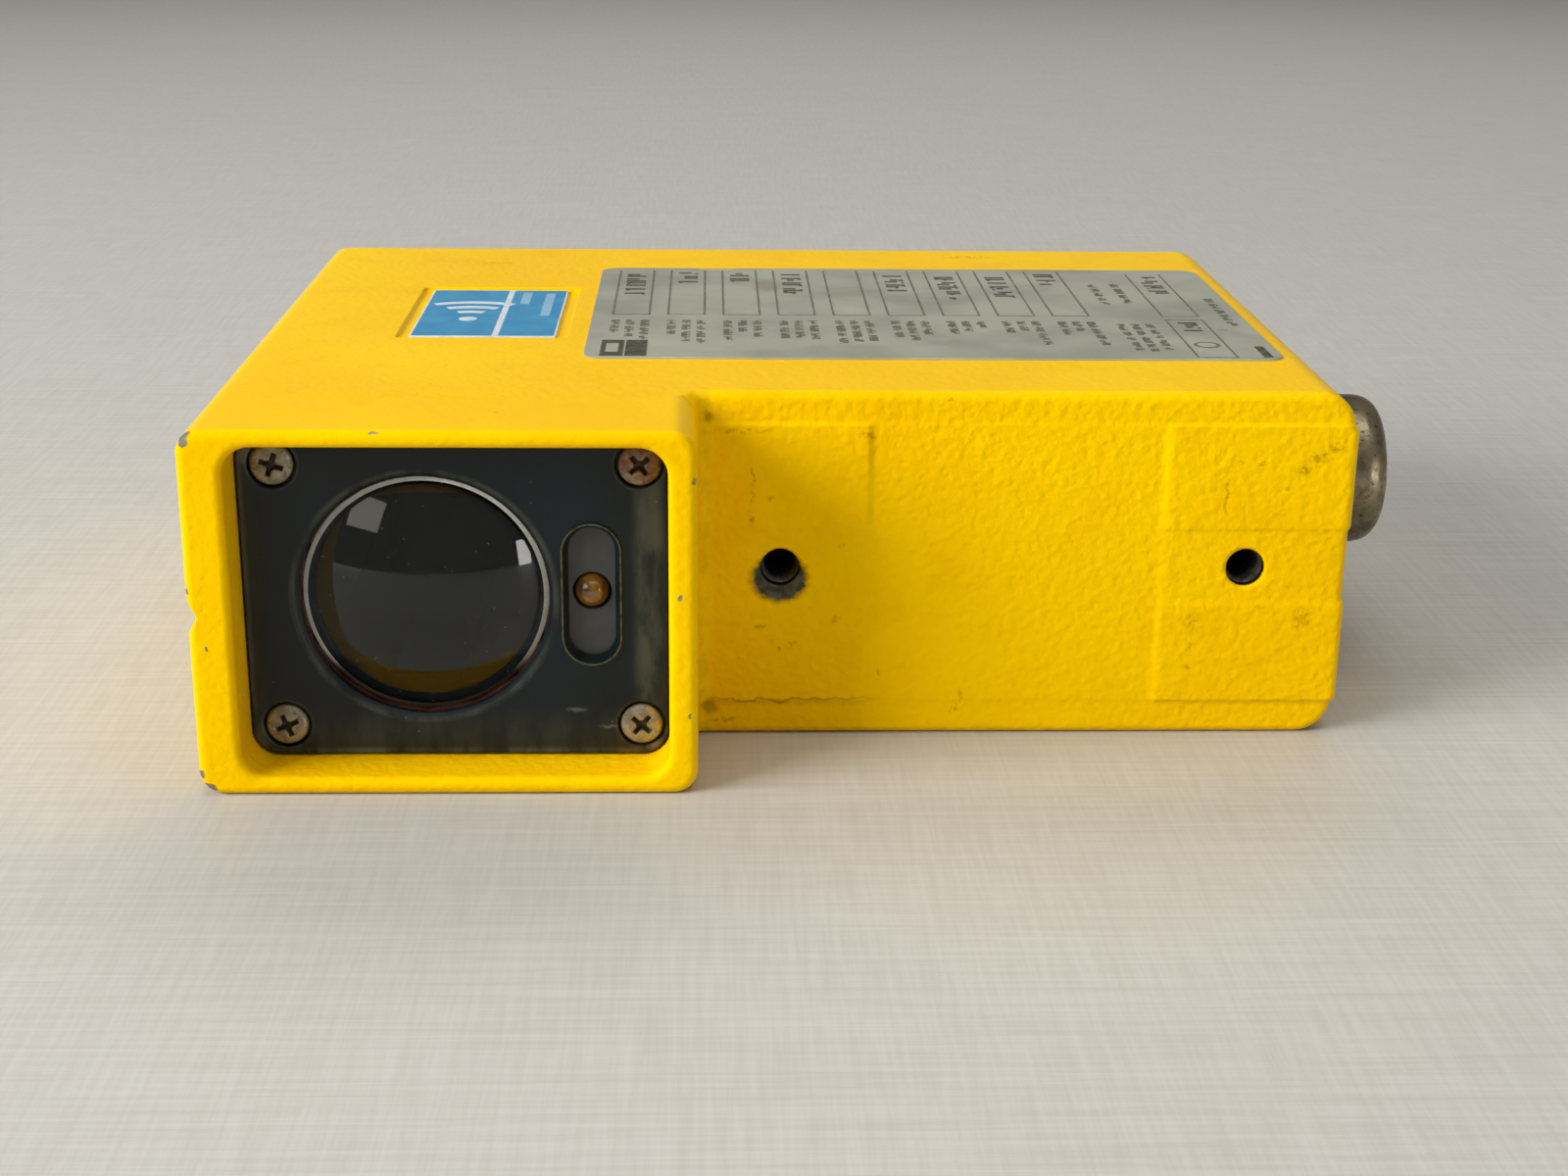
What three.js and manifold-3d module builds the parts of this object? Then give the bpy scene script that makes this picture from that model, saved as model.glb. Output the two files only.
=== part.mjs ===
// Optical lidar sensor head: a flat L-shaped die-cast housing with a single lens in a recessed
// front frame, a rear service cover and a round connector on its end face.
//
// Millimetres, +Z up. The lens looks along -Y and the connector along +X. Parts are laid out from
// the lower left front corner of the optics head, and the root group then moves the middle of the
// base to the origin.

import * as THREE from "three";
import { mergeVertices } from "three/addons/utils/BufferGeometryUtils.js";
import Module from "manifold-3d";

const wasm = await Module();
wasm.setup();

// ---------- Driving dimensions ----------

const HEIGHT = 53; // Z, thickness of the flat housing
const DEPTH = 136; // Y, from the head's rim to the rear rim
const BODY_LENGTH = 166; // X, without the connector
const TOTAL_LENGTH = 184.7; // X, with the connector
const HEAD_WIDTH = 70; // X, width of the optics head
const HEAD_REACH = 22.6; // Y, how far the head stands in front of the body's front face
const HEAD_CORNER = 3.5; // radius of the long edges at the head
const BODY_CORNER = 5.5; // radius of the long edges at the connector end
const WALL = 4.5;
const GAP = 0.3; // clearance left between neighbouring pieces
const MID_Z = HEIGHT / 2;

const FRAME = { x0: 6, x1: 66, rim: 2.5, corner: 4, front: 8.5, thickness: 3 };
const FRAME_SCREWS = { x: [11.2, 61.9], z: [7.3, 46.0], seat: 1.4 };
const GASKET_Y = FRAME.front + FRAME.thickness + 0.1; // front face of the frame gasket
const LEDGE_Y = GASKET_Y + 1.1; // housing ledge that the gasket rests on
const LEDGE_THICKNESS = 3.4;

const LENS = {
  x: 31.5, z: MID_Z, radius: 18.3, clear: 17.6, apex: 5.5, domeBase: 10.9, edge: 12.6, back: 14.2,
};
const LENS_BEVEL = 0.7; // the frame's bevel round the lens
const WINDOW = { x: 55, z: 27, width: 6.4, height: 19, bead: 1.15, lap: 0.9 };
const LED = { radius: 2.5, apex: 8.7, flange: 15.4, leadPitch: 2.54 };
const TUBE = { front: 17.1, flange: 26.3, back: 78, wall: 1.6, frontRadius: 18, backRadius: 12 };
const SPLITTER_Y = 64; // where the beam splitter crosses the lens axis

const MOUNT_HOLES = { x: [82, 151], z: MID_Z, radius: 2.6, mouth: 3.1, depth: 14 }; // M6, 69 mm apart
const PAD = { z: [5.2, 21, 32.3, 48.3], raise: 0.5, bandRaise: 0.3, endRaise: 0.5, endDepth: 25 };
const PAD_X = [
  [HEAD_WIDTH - 0.5, 95.1],
  [138.4, BODY_LENGTH - BODY_CORNER],
];
const SIGHT = { half: 2.5, depth: 1.4 }; // V groove along the head's outer side face

const COVER = { inset: 2, recess: 0.8, thickness: 4.2, gasket: 1.1 };
const COVER_BACK = DEPTH - COVER.recess;
const COVER_FRONT = COVER_BACK - COVER.thickness;
const REAR_LEDGE = COVER_FRONT - COVER.gasket;
const COVER_SCREWS = { x: [10.5, 155.5], z: [10.5, 42.5], seat: 2.2, boss: 4 };

const BADGE = { x: [24, 47.2], y: [59.2, 95.6], margin: 1.6, pocket: 0.5 };
const TYPE_LABEL = { x: [52.3, 160], y: [43, 114.5], corner: 3, thickness: 0.3 };

const PLUG = { y: 77, z: MID_Z, ring: 12.6, shell: 9.3, bore: 7.9, shank: 9, face: 4, tip: 9 };
const PINS = { count: 5, circle: 4.9, radius: 0.8 }; // and one more at the centre
const MAIN_BOARD = { x: [58, 157], y: [40, 112], z: 10, thickness: 1.6 };
const BOARD_POSTS = { x: [63, 152], y: [45, 106], radius: 3.5 };
const REAR_BOARD = { x: [62, 148], y: 113, z: [15, 46], thickness: 1.6 };
const TRANSFORMER = { x: 100, y: 62, length: 36, width: 26, height: 30, leg: 6.5 };
const ADJUSTER = { x: 82, z: 31, half: 6, depth: 5, rotor: 4, shaft: 2.4, head: 4 };
const MODE_SWITCH = { x: 116, z: 31, travel: 4 };

const FINE = 32; // facets round a large circle
const MEDIUM = 16;
const COARSE = 8;

// ---------- Solids ----------

// A closed three.js geometry as a solid that can be joined and cut.
function solid(geometry) {
  const bare = geometry.clone();
  bare.deleteAttribute("normal");
  bare.deleteAttribute("uv");
  const merged = mergeVertices(bare, 1e-4);
  return new wasm.Manifold(
    new wasm.Mesh({
      numProp: 3,
      vertProperties: merged.attributes.position.array,
      triVerts: new Uint32Array(merged.index.array),
    }),
  );
}

function geometryOf(manifold) {
  const mesh = manifold.getMesh();
  const indexed = new THREE.BufferGeometry();
  indexed.setAttribute("position", new THREE.BufferAttribute(new Float32Array(mesh.vertProperties), 3));
  indexed.setIndex(new THREE.BufferAttribute(new Uint32Array(mesh.triVerts), 1));
  const flat = indexed.toNonIndexed();
  flat.computeVertexNormals();
  return flat;
}

const join = (...solids) => solids.reduce((all, one) => all.add(one));
const cut = (from, ...tools) => tools.reduce((left, tool) => left.subtract(tool), from);

// A rectangle with round corners, the left and right pairs each with their own radius.
function roundedRect(x0, y0, x1, y1, left, right = left) {
  const quarter = Math.PI / 2;
  const shape = new THREE.Shape();
  shape.moveTo(x0 + left, y0);
  shape.lineTo(x1 - right, y0);
  shape.absarc(x1 - right, y0 + right, right, -quarter, 0);
  shape.lineTo(x1, y1 - right);
  shape.absarc(x1 - right, y1 - right, right, 0, quarter);
  shape.lineTo(x0 + left, y1);
  shape.absarc(x0 + left, y1 - left, left, quarter, 2 * quarter);
  shape.lineTo(x0, y0 + left);
  shape.absarc(x0 + left, y0 + left, left, 2 * quarter, 3 * quarter);
  return shape;
}

// A slot with round ends, taller than it is wide.
const stadium = (x, y, width, height) =>
  roundedRect(x - width / 2, y - height / 2, x + width / 2, y + height / 2, width / 2 - 0.001);

function polygon(points) {
  return new THREE.Shape(points.map(([x, y]) => new THREE.Vector2(x, y)));
}

const extrude = (shape, depth, steps) =>
  new THREE.ExtrudeGeometry(shape, { depth, bevelEnabled: false, curveSegments: steps });

// An outline in X and Z, drawn out along Y from y0 to y1.
const alongY = (shape, y0, y1, steps = 3) =>
  solid(extrude(shape, y1 - y0, steps).rotateX(Math.PI / 2).translate(0, y1, 0));

// An outline in X and Y, drawn up along Z.
const alongZ = (shape, z0, z1, steps = 3) => solid(extrude(shape, z1 - z0, steps).translate(0, 0, z0));

// An outline in Y and Z, drawn out along X.
function alongX(shape, x0, x1, steps = 3) {
  const turn = new THREE.Matrix4().set(0, 0, 1, 0, 1, 0, 0, 0, 0, 1, 0, 0, 0, 0, 0, 1);
  return solid(extrude(shape, x1 - x0, steps).applyMatrix4(turn).translate(x0, 0, 0));
}

function box(x0, x1, y0, y1, z0, z1) {
  const made = new THREE.BoxGeometry(x1 - x0, y1 - y0, z1 - z0);
  return solid(made.translate((x0 + x1) / 2, (y0 + y1) / 2, (z0 + z1) / 2));
}

// A profile of [radius, height] pairs, starting and ending on the axis or closing on itself,
// turned about the axis named. It runs up the outside, so that its faces point outwards.
function turned(profile, axis, x, y, z, facets = MEDIUM) {
  const points = profile.map(([radius, along]) => new THREE.Vector2(radius, along));
  const made = new THREE.LatheGeometry(points, facets);
  if (axis === "x") made.rotateZ(-Math.PI / 2);
  if (axis === "z") made.rotateX(Math.PI / 2);
  return solid(made.translate(x, y, z));
}

const disc = (radius, from, to) => [
  [0, from],
  [radius, from],
  [radius, to],
  [0, to],
];

const tube = (inner, outer, from, to) => [
  [inner, from],
  [outer, from],
  [outer, to],
  [inner, to],
  [inner, from],
];

const pegY = (radius, y0, y1, x, z, facets) => turned(disc(radius, y0, y1), "y", x, 0, z, facets);
const pegZ = (radius, z0, z1, x, y, facets) => turned(disc(radius, z0, z1), "z", x, y, 0, facets);
const pegX = (radius, x0, x1, y, z, facets) => turned(disc(radius, x0, x1), "x", 0, y, z, facets);

// Every pairing of two lists, such as the four corners of a screw pattern.
const corners = (xs, ys) => xs.flatMap((x) => ys.map((y) => [x, y]));

// ---------- Materials ----------

const finish = (color, roughness, metalness = 0, extra = {}) =>
  new THREE.MeshStandardMaterial({ color, roughness, metalness, ...extra });

const yellowPaint = finish(0xf2b705, 0.45);
const blackPlastic = finish(0x14171a, 0.4);
const darkRubber = finish(0x1b1b1b, 0.85);
const clearGlass = finish(0x9fb0b4, 0.05, 0, { transparent: true, opacity: 0.35 });
const greyWindow = finish(0x3a3c3b, 0.35);
const amberLens = finish(0xb8741c, 0.2, 0, { transparent: true, opacity: 0.8 });
const zincSteel = finish(0x8d8578, 0.5, 0.9);
const nickel = finish(0x8a8577, 0.3, 1);
const gold = finish(0xd0a54a, 0.3, 1);
const boardGreen = finish(0x1f5a34, 0.5);
const labelFoil = finish(0xa9aa9c, 0.4, 0.4);
const badgeBlue = finish(0x4f8fbd, 0.4);
const coreSteel = finish(0x4a4a4c, 0.6, 0.7);
const tapeYellow = finish(0xd9c35a, 0.6);
const relayBlue = finish(0x2a5fa0, 0.4);
const wireGrey = finish(0x6d6f72, 0.6);
const whitePlastic = finish(0xe4e2da, 0.5);
const aluminium = finish(0xb6b8ba, 0.4, 0.9);

const root = new THREE.Group();
root.position.set(-TOTAL_LENGTH / 2, -DEPTH / 2, 0);

function place(name, shape, material, parent = root) {
  const mesh = new THREE.Mesh(shape.isBufferGeometry ? shape : geometryOf(shape), material);
  mesh.name = name;
  parent.add(mesh);
  return mesh;
}

// ---------- Housing and rear cover ----------

// The body's outline, drawn in from its edge by the inset given.
const bodyOutline = (inset = 0) =>
  roundedRect(inset, inset, BODY_LENGTH - inset, HEIGHT - inset, Math.max(HEAD_CORNER - inset, 1.5),
    Math.max(BODY_CORNER - inset, 1.5));

// The sighting groove, a V along the outer side face for aiming by eye.
const sightGroove = () =>
  alongY(polygon([[-1, MID_Z - SIGHT.half], [SIGHT.depth, MID_Z], [-1, MID_Z + SIGHT.half]]), -1, DEPTH + 1);

// Raised faces round the two mounting holes: two lands with a lower band between them.
function mountingPads() {
  const [low, bandLow, bandHigh, high] = PAD.z;
  const land = (x0, x1, z0, z1, raise) => box(x0, x1, HEAD_REACH - raise, HEAD_REACH + 1, z0, z1);
  const pads = PAD_X.map(([x0, x1]) =>
    join(
      land(x0, x1, low, high, PAD.bandRaise),
      land(x0, x1, low, bandLow, PAD.raise),
      land(x0, x1, bandHigh, high, PAD.raise),
    ),
  );
  const wrapX = BODY_LENGTH - BODY_CORNER - 1;
  const wrap = (z0, z1, raise) =>
    alongZ(
      roundedRect(wrapX, HEAD_REACH - raise, BODY_LENGTH + PAD.endRaise, HEAD_REACH + PAD.endDepth, 0.4),
      z0, z1, 2,
    );
  return join(
    ...pads,
    wrap(BODY_CORNER, high - 1, PAD.bandRaise),
    wrap(BODY_CORNER, bandLow, PAD.raise),
    wrap(bandHigh, high - 1, PAD.raise),
  );
}

// The opening behind the front frame, for the lens, the optics tube and the indicator window.
function opticsOpening(y0, y1) {
  const edge = 5.4;
  return join(
    alongY(roundedRect(14.6, edge, 58.4, HEIGHT - edge, 3), y0, y1, 2),
    pegY(LENS.radius + 2.8, y0, y1, LENS.x, LENS.z, FINE),
    box(50, WINDOW.x + WINDOW.width / 2 + WINDOW.lap + 1, y0, y1, 14, 40),
  );
}

// A round boss for a cover screw, with a square web that ties it to the corner beside it.
function cornerBoss(x, z, y0, y1) {
  const near = WALL - 1;
  const cornerX = x < BODY_LENGTH / 2 ? near : BODY_LENGTH - near;
  const cornerZ = z < MID_Z ? near : HEIGHT - near;
  const [x0, x1] = [Math.min(x, cornerX), Math.max(x, cornerX)];
  const [z0, z1] = [Math.min(z, cornerZ), Math.max(z, cornerZ)];
  const web = box(x0, x1, y0, y1, z0, z1);
  return join(pegY(COVER_SCREWS.boss, y0, y1, x, z, COARSE), web);
}

function housing() {
  const cavityFront = HEAD_REACH + WALL;
  const body = alongY(bodyOutline(), HEAD_REACH, DEPTH, 4);
  const head = alongY(roundedRect(0, 0, HEAD_WIDTH, HEIGHT, HEAD_CORNER), 0, cavityFront, 4);
  const frontPocket = alongY(
    roundedRect(FRAME.x0, FRAME.rim, FRAME.x1, HEIGHT - FRAME.rim, FRAME.corner), -1, LEDGE_Y,
  );
  const headCavity = alongY(
    roundedRect(WALL, WALL, HEAD_WIDTH - WALL, HEIGHT - WALL, 2),
    LEDGE_Y + LEDGE_THICKNESS, cavityFront + 1, 2,
  );
  const mainCavity = alongY(bodyOutline(WALL), cavityFront, DEPTH, 2);
  const rearPocket = alongY(bodyOutline(COVER.inset), REAR_LEDGE, DEPTH + 1);
  const badgePocket = box(
    BADGE.x[0] - BADGE.margin, BADGE.x[1] + BADGE.margin,
    BADGE.y[0] - BADGE.margin, BADGE.y[1] + BADGE.margin,
    HEIGHT - BADGE.pocket, HEIGHT + 1,
  );
  const shell = cut(
    join(body, head, mountingPads()),
    frontPocket, opticsOpening(LEDGE_Y - 1, LEDGE_Y + LEDGE_THICKNESS + 1), headCavity, mainCavity,
    rearPocket, badgePocket, sightGroove(),
  );
  const frameBosses = corners(FRAME_SCREWS.x, FRAME_SCREWS.z).map(([x, z]) =>
    pegY(3.2, LEDGE_Y + 1, TUBE.flange - GAP, x, z, COARSE),
  );
  const mountBosses = MOUNT_HOLES.x.map((x) =>
    pegY(6.5, HEAD_REACH + 1, HEAD_REACH + MOUNT_HOLES.depth + 2, x, MOUNT_HOLES.z),
  );
  const coverBosses = corners(COVER_SCREWS.x, COVER_SCREWS.z).map(([x, z]) =>
    cornerBoss(x, z, REAR_LEDGE - 14, REAR_LEDGE),
  );
  const boardPosts = corners(BOARD_POSTS.x, BOARD_POSTS.y).map(([x, y]) =>
    pegZ(BOARD_POSTS.radius, WALL - 1, MAIN_BOARD.z - 0.1, x, y, COARSE),
  );
  const { radius, mouth, depth } = MOUNT_HOLES;
  const tappedHole = [
    [0, -5],
    [mouth, -5],
    [mouth, 0],
    [radius, mouth - radius],
    [radius, depth],
    [0, depth],
  ];
  const drilled = [
    ...corners(FRAME_SCREWS.x, FRAME_SCREWS.z).map(([x, z]) => pegY(1.7, 1, 30, x, z, COARSE)),
    ...MOUNT_HOLES.x.map((x) => turned(tappedHole, "y", x, HEAD_REACH, MOUNT_HOLES.z)),
    ...corners(COVER_SCREWS.x, COVER_SCREWS.z).map(([x, z]) =>
      pegY(1.9, REAR_LEDGE - 12, DEPTH, x, z, COARSE),
    ),
    ...corners(BOARD_POSTS.x, BOARD_POSTS.y).map(([x, y]) => pegZ(1.3, 4, 20, x, y, COARSE)),
    pegX(PLUG.shank + GAP, BODY_LENGTH - 10, BODY_LENGTH + 5, PLUG.y, PLUG.z, FINE),
  ];
  return cut(join(shell, ...frameBosses, ...mountBosses, ...coverBosses, ...boardPosts), ...drilled);
}
place("housing", housing(), yellowPaint);

// The cover fits inside the rear rim, and its field is sunk a little below its border.
function rearCover() {
  const plate = alongY(bodyOutline(COVER.inset + GAP), COVER_FRONT, COVER_BACK);
  const field = alongY(roundedRect(18, 7, BODY_LENGTH - 18, HEIGHT - 7, 3), COVER_BACK - 0.8, COVER_BACK + 1);
  const screwHoles = corners(COVER_SCREWS.x, COVER_SCREWS.z).flatMap(([x, z]) => [
    pegY(1.9, COVER_FRONT - 1, DEPTH, x, z, COARSE),
    pegY(4.1, COVER_BACK - COVER_SCREWS.seat, DEPTH, x, z),
  ]);
  const { x, z, shaft, head } = ADJUSTER;
  const spindleWay = [
    pegY(shaft + GAP, COVER_FRONT - 1, DEPTH, x, z),
    pegY(head + 1, COVER_BACK - 2.2, DEPTH, x, z),
    pegY(head, COVER_FRONT - 1, COVER_FRONT + 1.3, x, z),
  ];
  return cut(plate, field, ...screwHoles, ...spindleWay);
}
place("rear_cover", rearCover(), yellowPaint);

function rearGasket() {
  const y0 = REAR_LEDGE + 0.1;
  const y1 = COVER_FRONT - 0.1;
  const sheet = alongY(bodyOutline(COVER.inset + 2 * GAP), y0, y1);
  const inside = alongY(bodyOutline(WALL + GAP), y0 - 1, y1 + 1);
  const ears = corners(COVER_SCREWS.x, COVER_SCREWS.z).map(([x, z]) => cornerBoss(x, z, y0, y1));
  const holes = corners(COVER_SCREWS.x, COVER_SCREWS.z).map(([x, z]) =>
    pegY(1.9, y0 - 1, y1 + 1, x, z, COARSE),
  );
  return cut(join(cut(sheet, inside), ...ears), ...holes);
}
place("rear_gasket", rearGasket(), darkRubber);

// ---------- Screws ----------

// A pan-head screw with a cross recess, its head standing on the X-Y plane and its shank below it.
function crossScrew(headRadius, headHeight, shankRadius, length) {
  const body = turned(
    [
      [0, -length],
      [shankRadius * 0.7, -length],
      [shankRadius, -length + shankRadius * 0.5],
      [shankRadius, 0],
      [headRadius, 0],
      [headRadius, headHeight * 0.45],
      [headRadius * 0.85, headHeight * 0.8],
      [headRadius * 0.5, headHeight],
      [0, headHeight],
    ],
    "z", 0, 0, 0, COARSE + 2,
  );
  const arm = headRadius * 0.56;
  const half = headRadius * 0.13;
  const floor = headHeight * 0.35;
  const cross = join(
    box(-arm, arm, -half, half, floor, headHeight + 1),
    box(-half, half, -arm, arm, floor, headHeight + 1),
  );
  return geometryOf(cut(body, cross));
}

// Stands a screw in place with its head facing along -Y, +Y or +Z.
function driveScrew(name, geometry, facing, x, y, z, parent) {
  const screw = place(name, geometry, zincSteel, parent);
  screw.position.set(x, y, z);
  if (facing === "-y") screw.rotation.x = Math.PI / 2;
  if (facing === "+y") screw.rotation.x = -Math.PI / 2;
}

const coverScrew = crossScrew(3.7, 2, 1.5, 12);
corners(COVER_SCREWS.x, COVER_SCREWS.z).forEach(([x, z], i) =>
  driveScrew(`cover_screw_${i + 1}`, coverScrew, "+y", x, COVER_BACK - COVER_SCREWS.seat + 0.1, z),
);

// ---------- Front frame, lens and indicator ----------

const frameBack = FRAME.front + FRAME.thickness;
const screwSeat = FRAME.front + FRAME_SCREWS.seat;

const frameOutline = (inset) =>
  roundedRect(FRAME.x0 + inset, FRAME.rim + inset, FRAME.x1 - inset, HEIGHT - FRAME.rim - inset,
    FRAME.corner - inset);

// The window's slot shape, made wider on every side by the amount given.
const windowShape = (grow) => stadium(WINDOW.x, WINDOW.z, WINDOW.width + 2 * grow, WINDOW.height + 2 * grow);

// A solid turned round the lens axis.
const roundLens = (profile, facets = FINE) => turned(profile, "y", LENS.x, 0, LENS.z, facets);

function frontFrame() {
  const plate = alongY(frameOutline(GAP), FRAME.front, frameBack);
  const collar = roundLens(disc(LENS.radius + 2.3, frameBack - 1, TUBE.front - 0.7));
  const bead = alongY(windowShape(WINDOW.bead), FRAME.front - 0.4, FRAME.front + 1, 5);
  const lensBore = roundLens([
    [0, FRAME.front - 1],
    [LENS.clear + LENS_BEVEL, FRAME.front - 1],
    [LENS.clear + LENS_BEVEL, FRAME.front],
    [LENS.clear, FRAME.front + LENS_BEVEL],
    [LENS.clear, FRAME.front + 1.6],
    [LENS.radius + GAP, FRAME.front + 1.6],
    [LENS.radius + GAP, TUBE.front],
    [0, TUBE.front],
  ]);
  const windowSlot = join(
    alongY(windowShape(0), 0, TUBE.front, 5),
    alongY(windowShape(WINDOW.lap + GAP), FRAME.front + 1.5, TUBE.front, 5),
  );
  const screwHoles = corners(FRAME_SCREWS.x, FRAME_SCREWS.z).flatMap(([x, z]) => [
    pegY(1.8, 0, TUBE.front, x, z, COARSE),
    pegY(3.4, 0, screwSeat, x, z),
  ]);
  return cut(join(plate, collar, bead), lensBore, windowSlot, ...screwHoles);
}
place("front_frame", frontFrame(), blackPlastic);

function frameGasket() {
  const sheet = alongY(frameOutline(GAP + 0.2), GASKET_Y, LEDGE_Y - 0.1);
  const screwHoles = corners(FRAME_SCREWS.x, FRAME_SCREWS.z).map(([x, z]) => pegY(1.8, 5, 20, x, z, COARSE));
  return cut(sheet, opticsOpening(5, 20), ...screwHoles);
}
place("frame_gasket", frameGasket(), darkRubber);

const frameScrew = crossScrew(3, 1.9, 1.35, 19);
corners(FRAME_SCREWS.x, FRAME_SCREWS.z).forEach(([x, z], i) =>
  driveScrew(`frame_screw_${i + 1}`, frameScrew, "-y", x, screwSeat - 0.1, z),
);

// A quarter turn of points from the apex of a dome out to its edge.
function domePoints(edgeRadius, apex, rise, steps) {
  const sphere = (edgeRadius ** 2 + rise ** 2) / (2 * rise);
  const span = Math.asin(edgeRadius / sphere);
  return Array.from({ length: steps }, (_, i) => {
    const angle = (span * (i + 1)) / steps;
    return [sphere * Math.sin(angle), apex + sphere * (1 - Math.cos(angle))];
  });
}

// A plano-convex lens: a flat back, a thin cylindrical edge and a spherical front.
function lens() {
  const dome = LENS.clear - GAP - 0.1;
  return roundLens([
    [0, LENS.apex],
    ...domePoints(dome, LENS.apex, LENS.domeBase - LENS.apex, 6),
    [dome, LENS.edge],
    [LENS.radius, LENS.edge],
    [LENS.radius, LENS.back],
    [0, LENS.back],
  ]);
}
place("lens", lens(), clearGlass);
place(
  "lens_seal",
  roundLens(tube(LENS.clear + 0.1, LENS.radius, FRAME.front + 1.8, LENS.edge - GAP), MEDIUM),
  darkRubber,
);
place("lens_retainer", roundLens(tube(15.4, LENS.radius, LENS.back + GAP, 16.2), MEDIUM), blackPlastic);

function indicatorWindow() {
  const plate = alongY(windowShape(WINDOW.lap), FRAME.front + 1.8, frameBack + 0.6, 5);
  return cut(plate, pegY(LED.radius + 0.2, 5, 20, WINDOW.x, WINDOW.z));
}
place("indicator_window", indicatorWindow(), greyWindow);

function indicatorLed() {
  const profile = [
    [0, LED.apex],
    ...domePoints(LED.radius, LED.apex, LED.radius - 0.001, 5),
    [LED.radius, LED.flange],
    [LED.radius + 0.4, LED.flange],
    [LED.radius + 0.4, LED.flange + 1],
    [0, LED.flange + 1],
  ];
  const dome = turned(profile, "y", WINDOW.x, 0, WINDOW.z);
  const lead = (side) => {
    const z = WINDOW.z + (side * LED.leadPitch) / 2;
    return box(WINDOW.x - 0.25, WINDOW.x + 0.25, LED.flange, 22, z - 0.25, z + 0.25);
  };
  return join(dome, lead(-1), lead(1));
}
place("indicator_led", indicatorLed(), amberLens);

function ledBoard() {
  const leadHole = (side) => pegY(0.8, 18, 22, WINDOW.x, WINDOW.z + (side * LED.leadPitch) / 2, COARSE);
  return cut(box(52, 60, 19.2, 20.6, 18, 36), leadHole(-1), leadHole(1));
}
place("led_board", ledBoard(), boardGreen);

// ---------- Optics tube ----------

// The blackened tube that holds the lens and the diodes apart, with a flange on the head's bosses.
function opticsTube() {
  const taperEnd = SPLITTER_Y - 10;
  const profile = (wall, from, to) => [
    [0, from],
    [TUBE.frontRadius - wall, from],
    [TUBE.frontRadius - wall, 34],
    [TUBE.backRadius - wall, taperEnd],
    [TUBE.backRadius - wall, to],
    [0, to],
  ];
  const outside = roundLens(profile(0, TUBE.front, TUBE.back), MEDIUM);
  const inside = roundLens(profile(TUBE.wall, TUBE.front - 1, TUBE.back + 1), MEDIUM);
  const flange = alongY(roundedRect(5.5, 5.5, 64.5, HEIGHT - 5.5, 2), TUBE.flange, TUBE.flange + 3, 2);
  const sidePort = pegX(7, LENS.x + 6, LENS.x + 15, SPLITTER_Y, LENS.z);
  const portBore = pegX(5, LENS.x, LENS.x + 16, SPLITTER_Y, LENS.z);
  const screwHoles = corners(FRAME_SCREWS.x, FRAME_SCREWS.z).map(([x, z]) => pegY(1.7, 20, 40, x, z, COARSE));
  return cut(join(outside, flange, sidePort), inside, portBore, ...screwHoles);
}
place("optics_tube", opticsTube(), blackPlastic);

// The half-silvered plate that turns the returning light out through the side port.
const splitter = place("beam_splitter", new THREE.BoxGeometry(13, 1, 10), clearGlass);
splitter.position.set(LENS.x, SPLITTER_Y, LENS.z);
splitter.rotation.z = -Math.PI / 4;

function emitterCarrier() {
  const inside = TUBE.backRadius - TUBE.wall - GAP;
  const body = roundLens(
    [
      [0, TUBE.back - 6],
      [inside, TUBE.back - 6],
      [inside, TUBE.back + GAP],
      [TUBE.backRadius, TUBE.back + GAP],
      [TUBE.backRadius, TUBE.back + 2.3],
      [0, TUBE.back + 2.3],
    ],
    MEDIUM,
  );
  return cut(body, pegY(3.1, TUBE.back - 8, TUBE.back + 4, LENS.x, LENS.z));
}
place("emitter_carrier", emitterCarrier(), aluminium);

// A metal-can diode: a cap on a flange, with two leads out of its back along +Y.
function canDiode(capRadius, length) {
  const can = turned(
    [
      [0, 0],
      [capRadius * 0.6, 0],
      [capRadius, 0.8],
      [capRadius, length],
      [capRadius + 0.3, length],
      [capRadius + 0.3, length + 0.8],
      [0, length + 0.8],
    ],
    "y", 0, 0, 0,
  );
  const lead = (x) => box(x - 0.25, x + 0.25, length, length + 7, -0.25, 0.25);
  return join(can, lead(-1.2), lead(1.2));
}
const emitter = place("emitter_diode", canDiode(2.4, 5), gold);
emitter.position.set(LENS.x, TUBE.back - 5, LENS.z);
const receiver = place("receiver_diode", canDiode(3.9, 4), gold);
receiver.position.set(LENS.x + 8.6, SPLITTER_Y, LENS.z);
receiver.rotation.z = -Math.PI / 2;

const OPTICS_BOARD_Y = TUBE.back + 3.2;
function opticsBoard() {
  const leads = [-1.2, 1.2].map((x) => pegY(0.7, TUBE.back, TUBE.back + 8, LENS.x + x, LENS.z, COARSE));
  return cut(box(15, 49, OPTICS_BOARD_Y, OPTICS_BOARD_Y + 1.6, 9, 44), ...leads);
}
place("optics_board", opticsBoard(), boardGreen);

// ---------- Main board and its components ----------

const boardGroup = new THREE.Group();
boardGroup.position.z = MAIN_BOARD.z;
root.add(boardGroup);
const deck = MAIN_BOARD.thickness + 0.1; // height above the board's underside that components stand on

function mainBoard() {
  const [x0, x1] = MAIN_BOARD.x;
  const [y0, y1] = MAIN_BOARD.y;
  const holes = corners(BOARD_POSTS.x, BOARD_POSTS.y).map(([x, y]) => pegZ(1.7, -1, 3, x, y, COARSE));
  return cut(alongZ(roundedRect(x0, y0, x1, y1, 1.5), 0, MAIN_BOARD.thickness, 1), ...holes);
}
place("main_board", mainBoard(), boardGreen, boardGroup);

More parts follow.
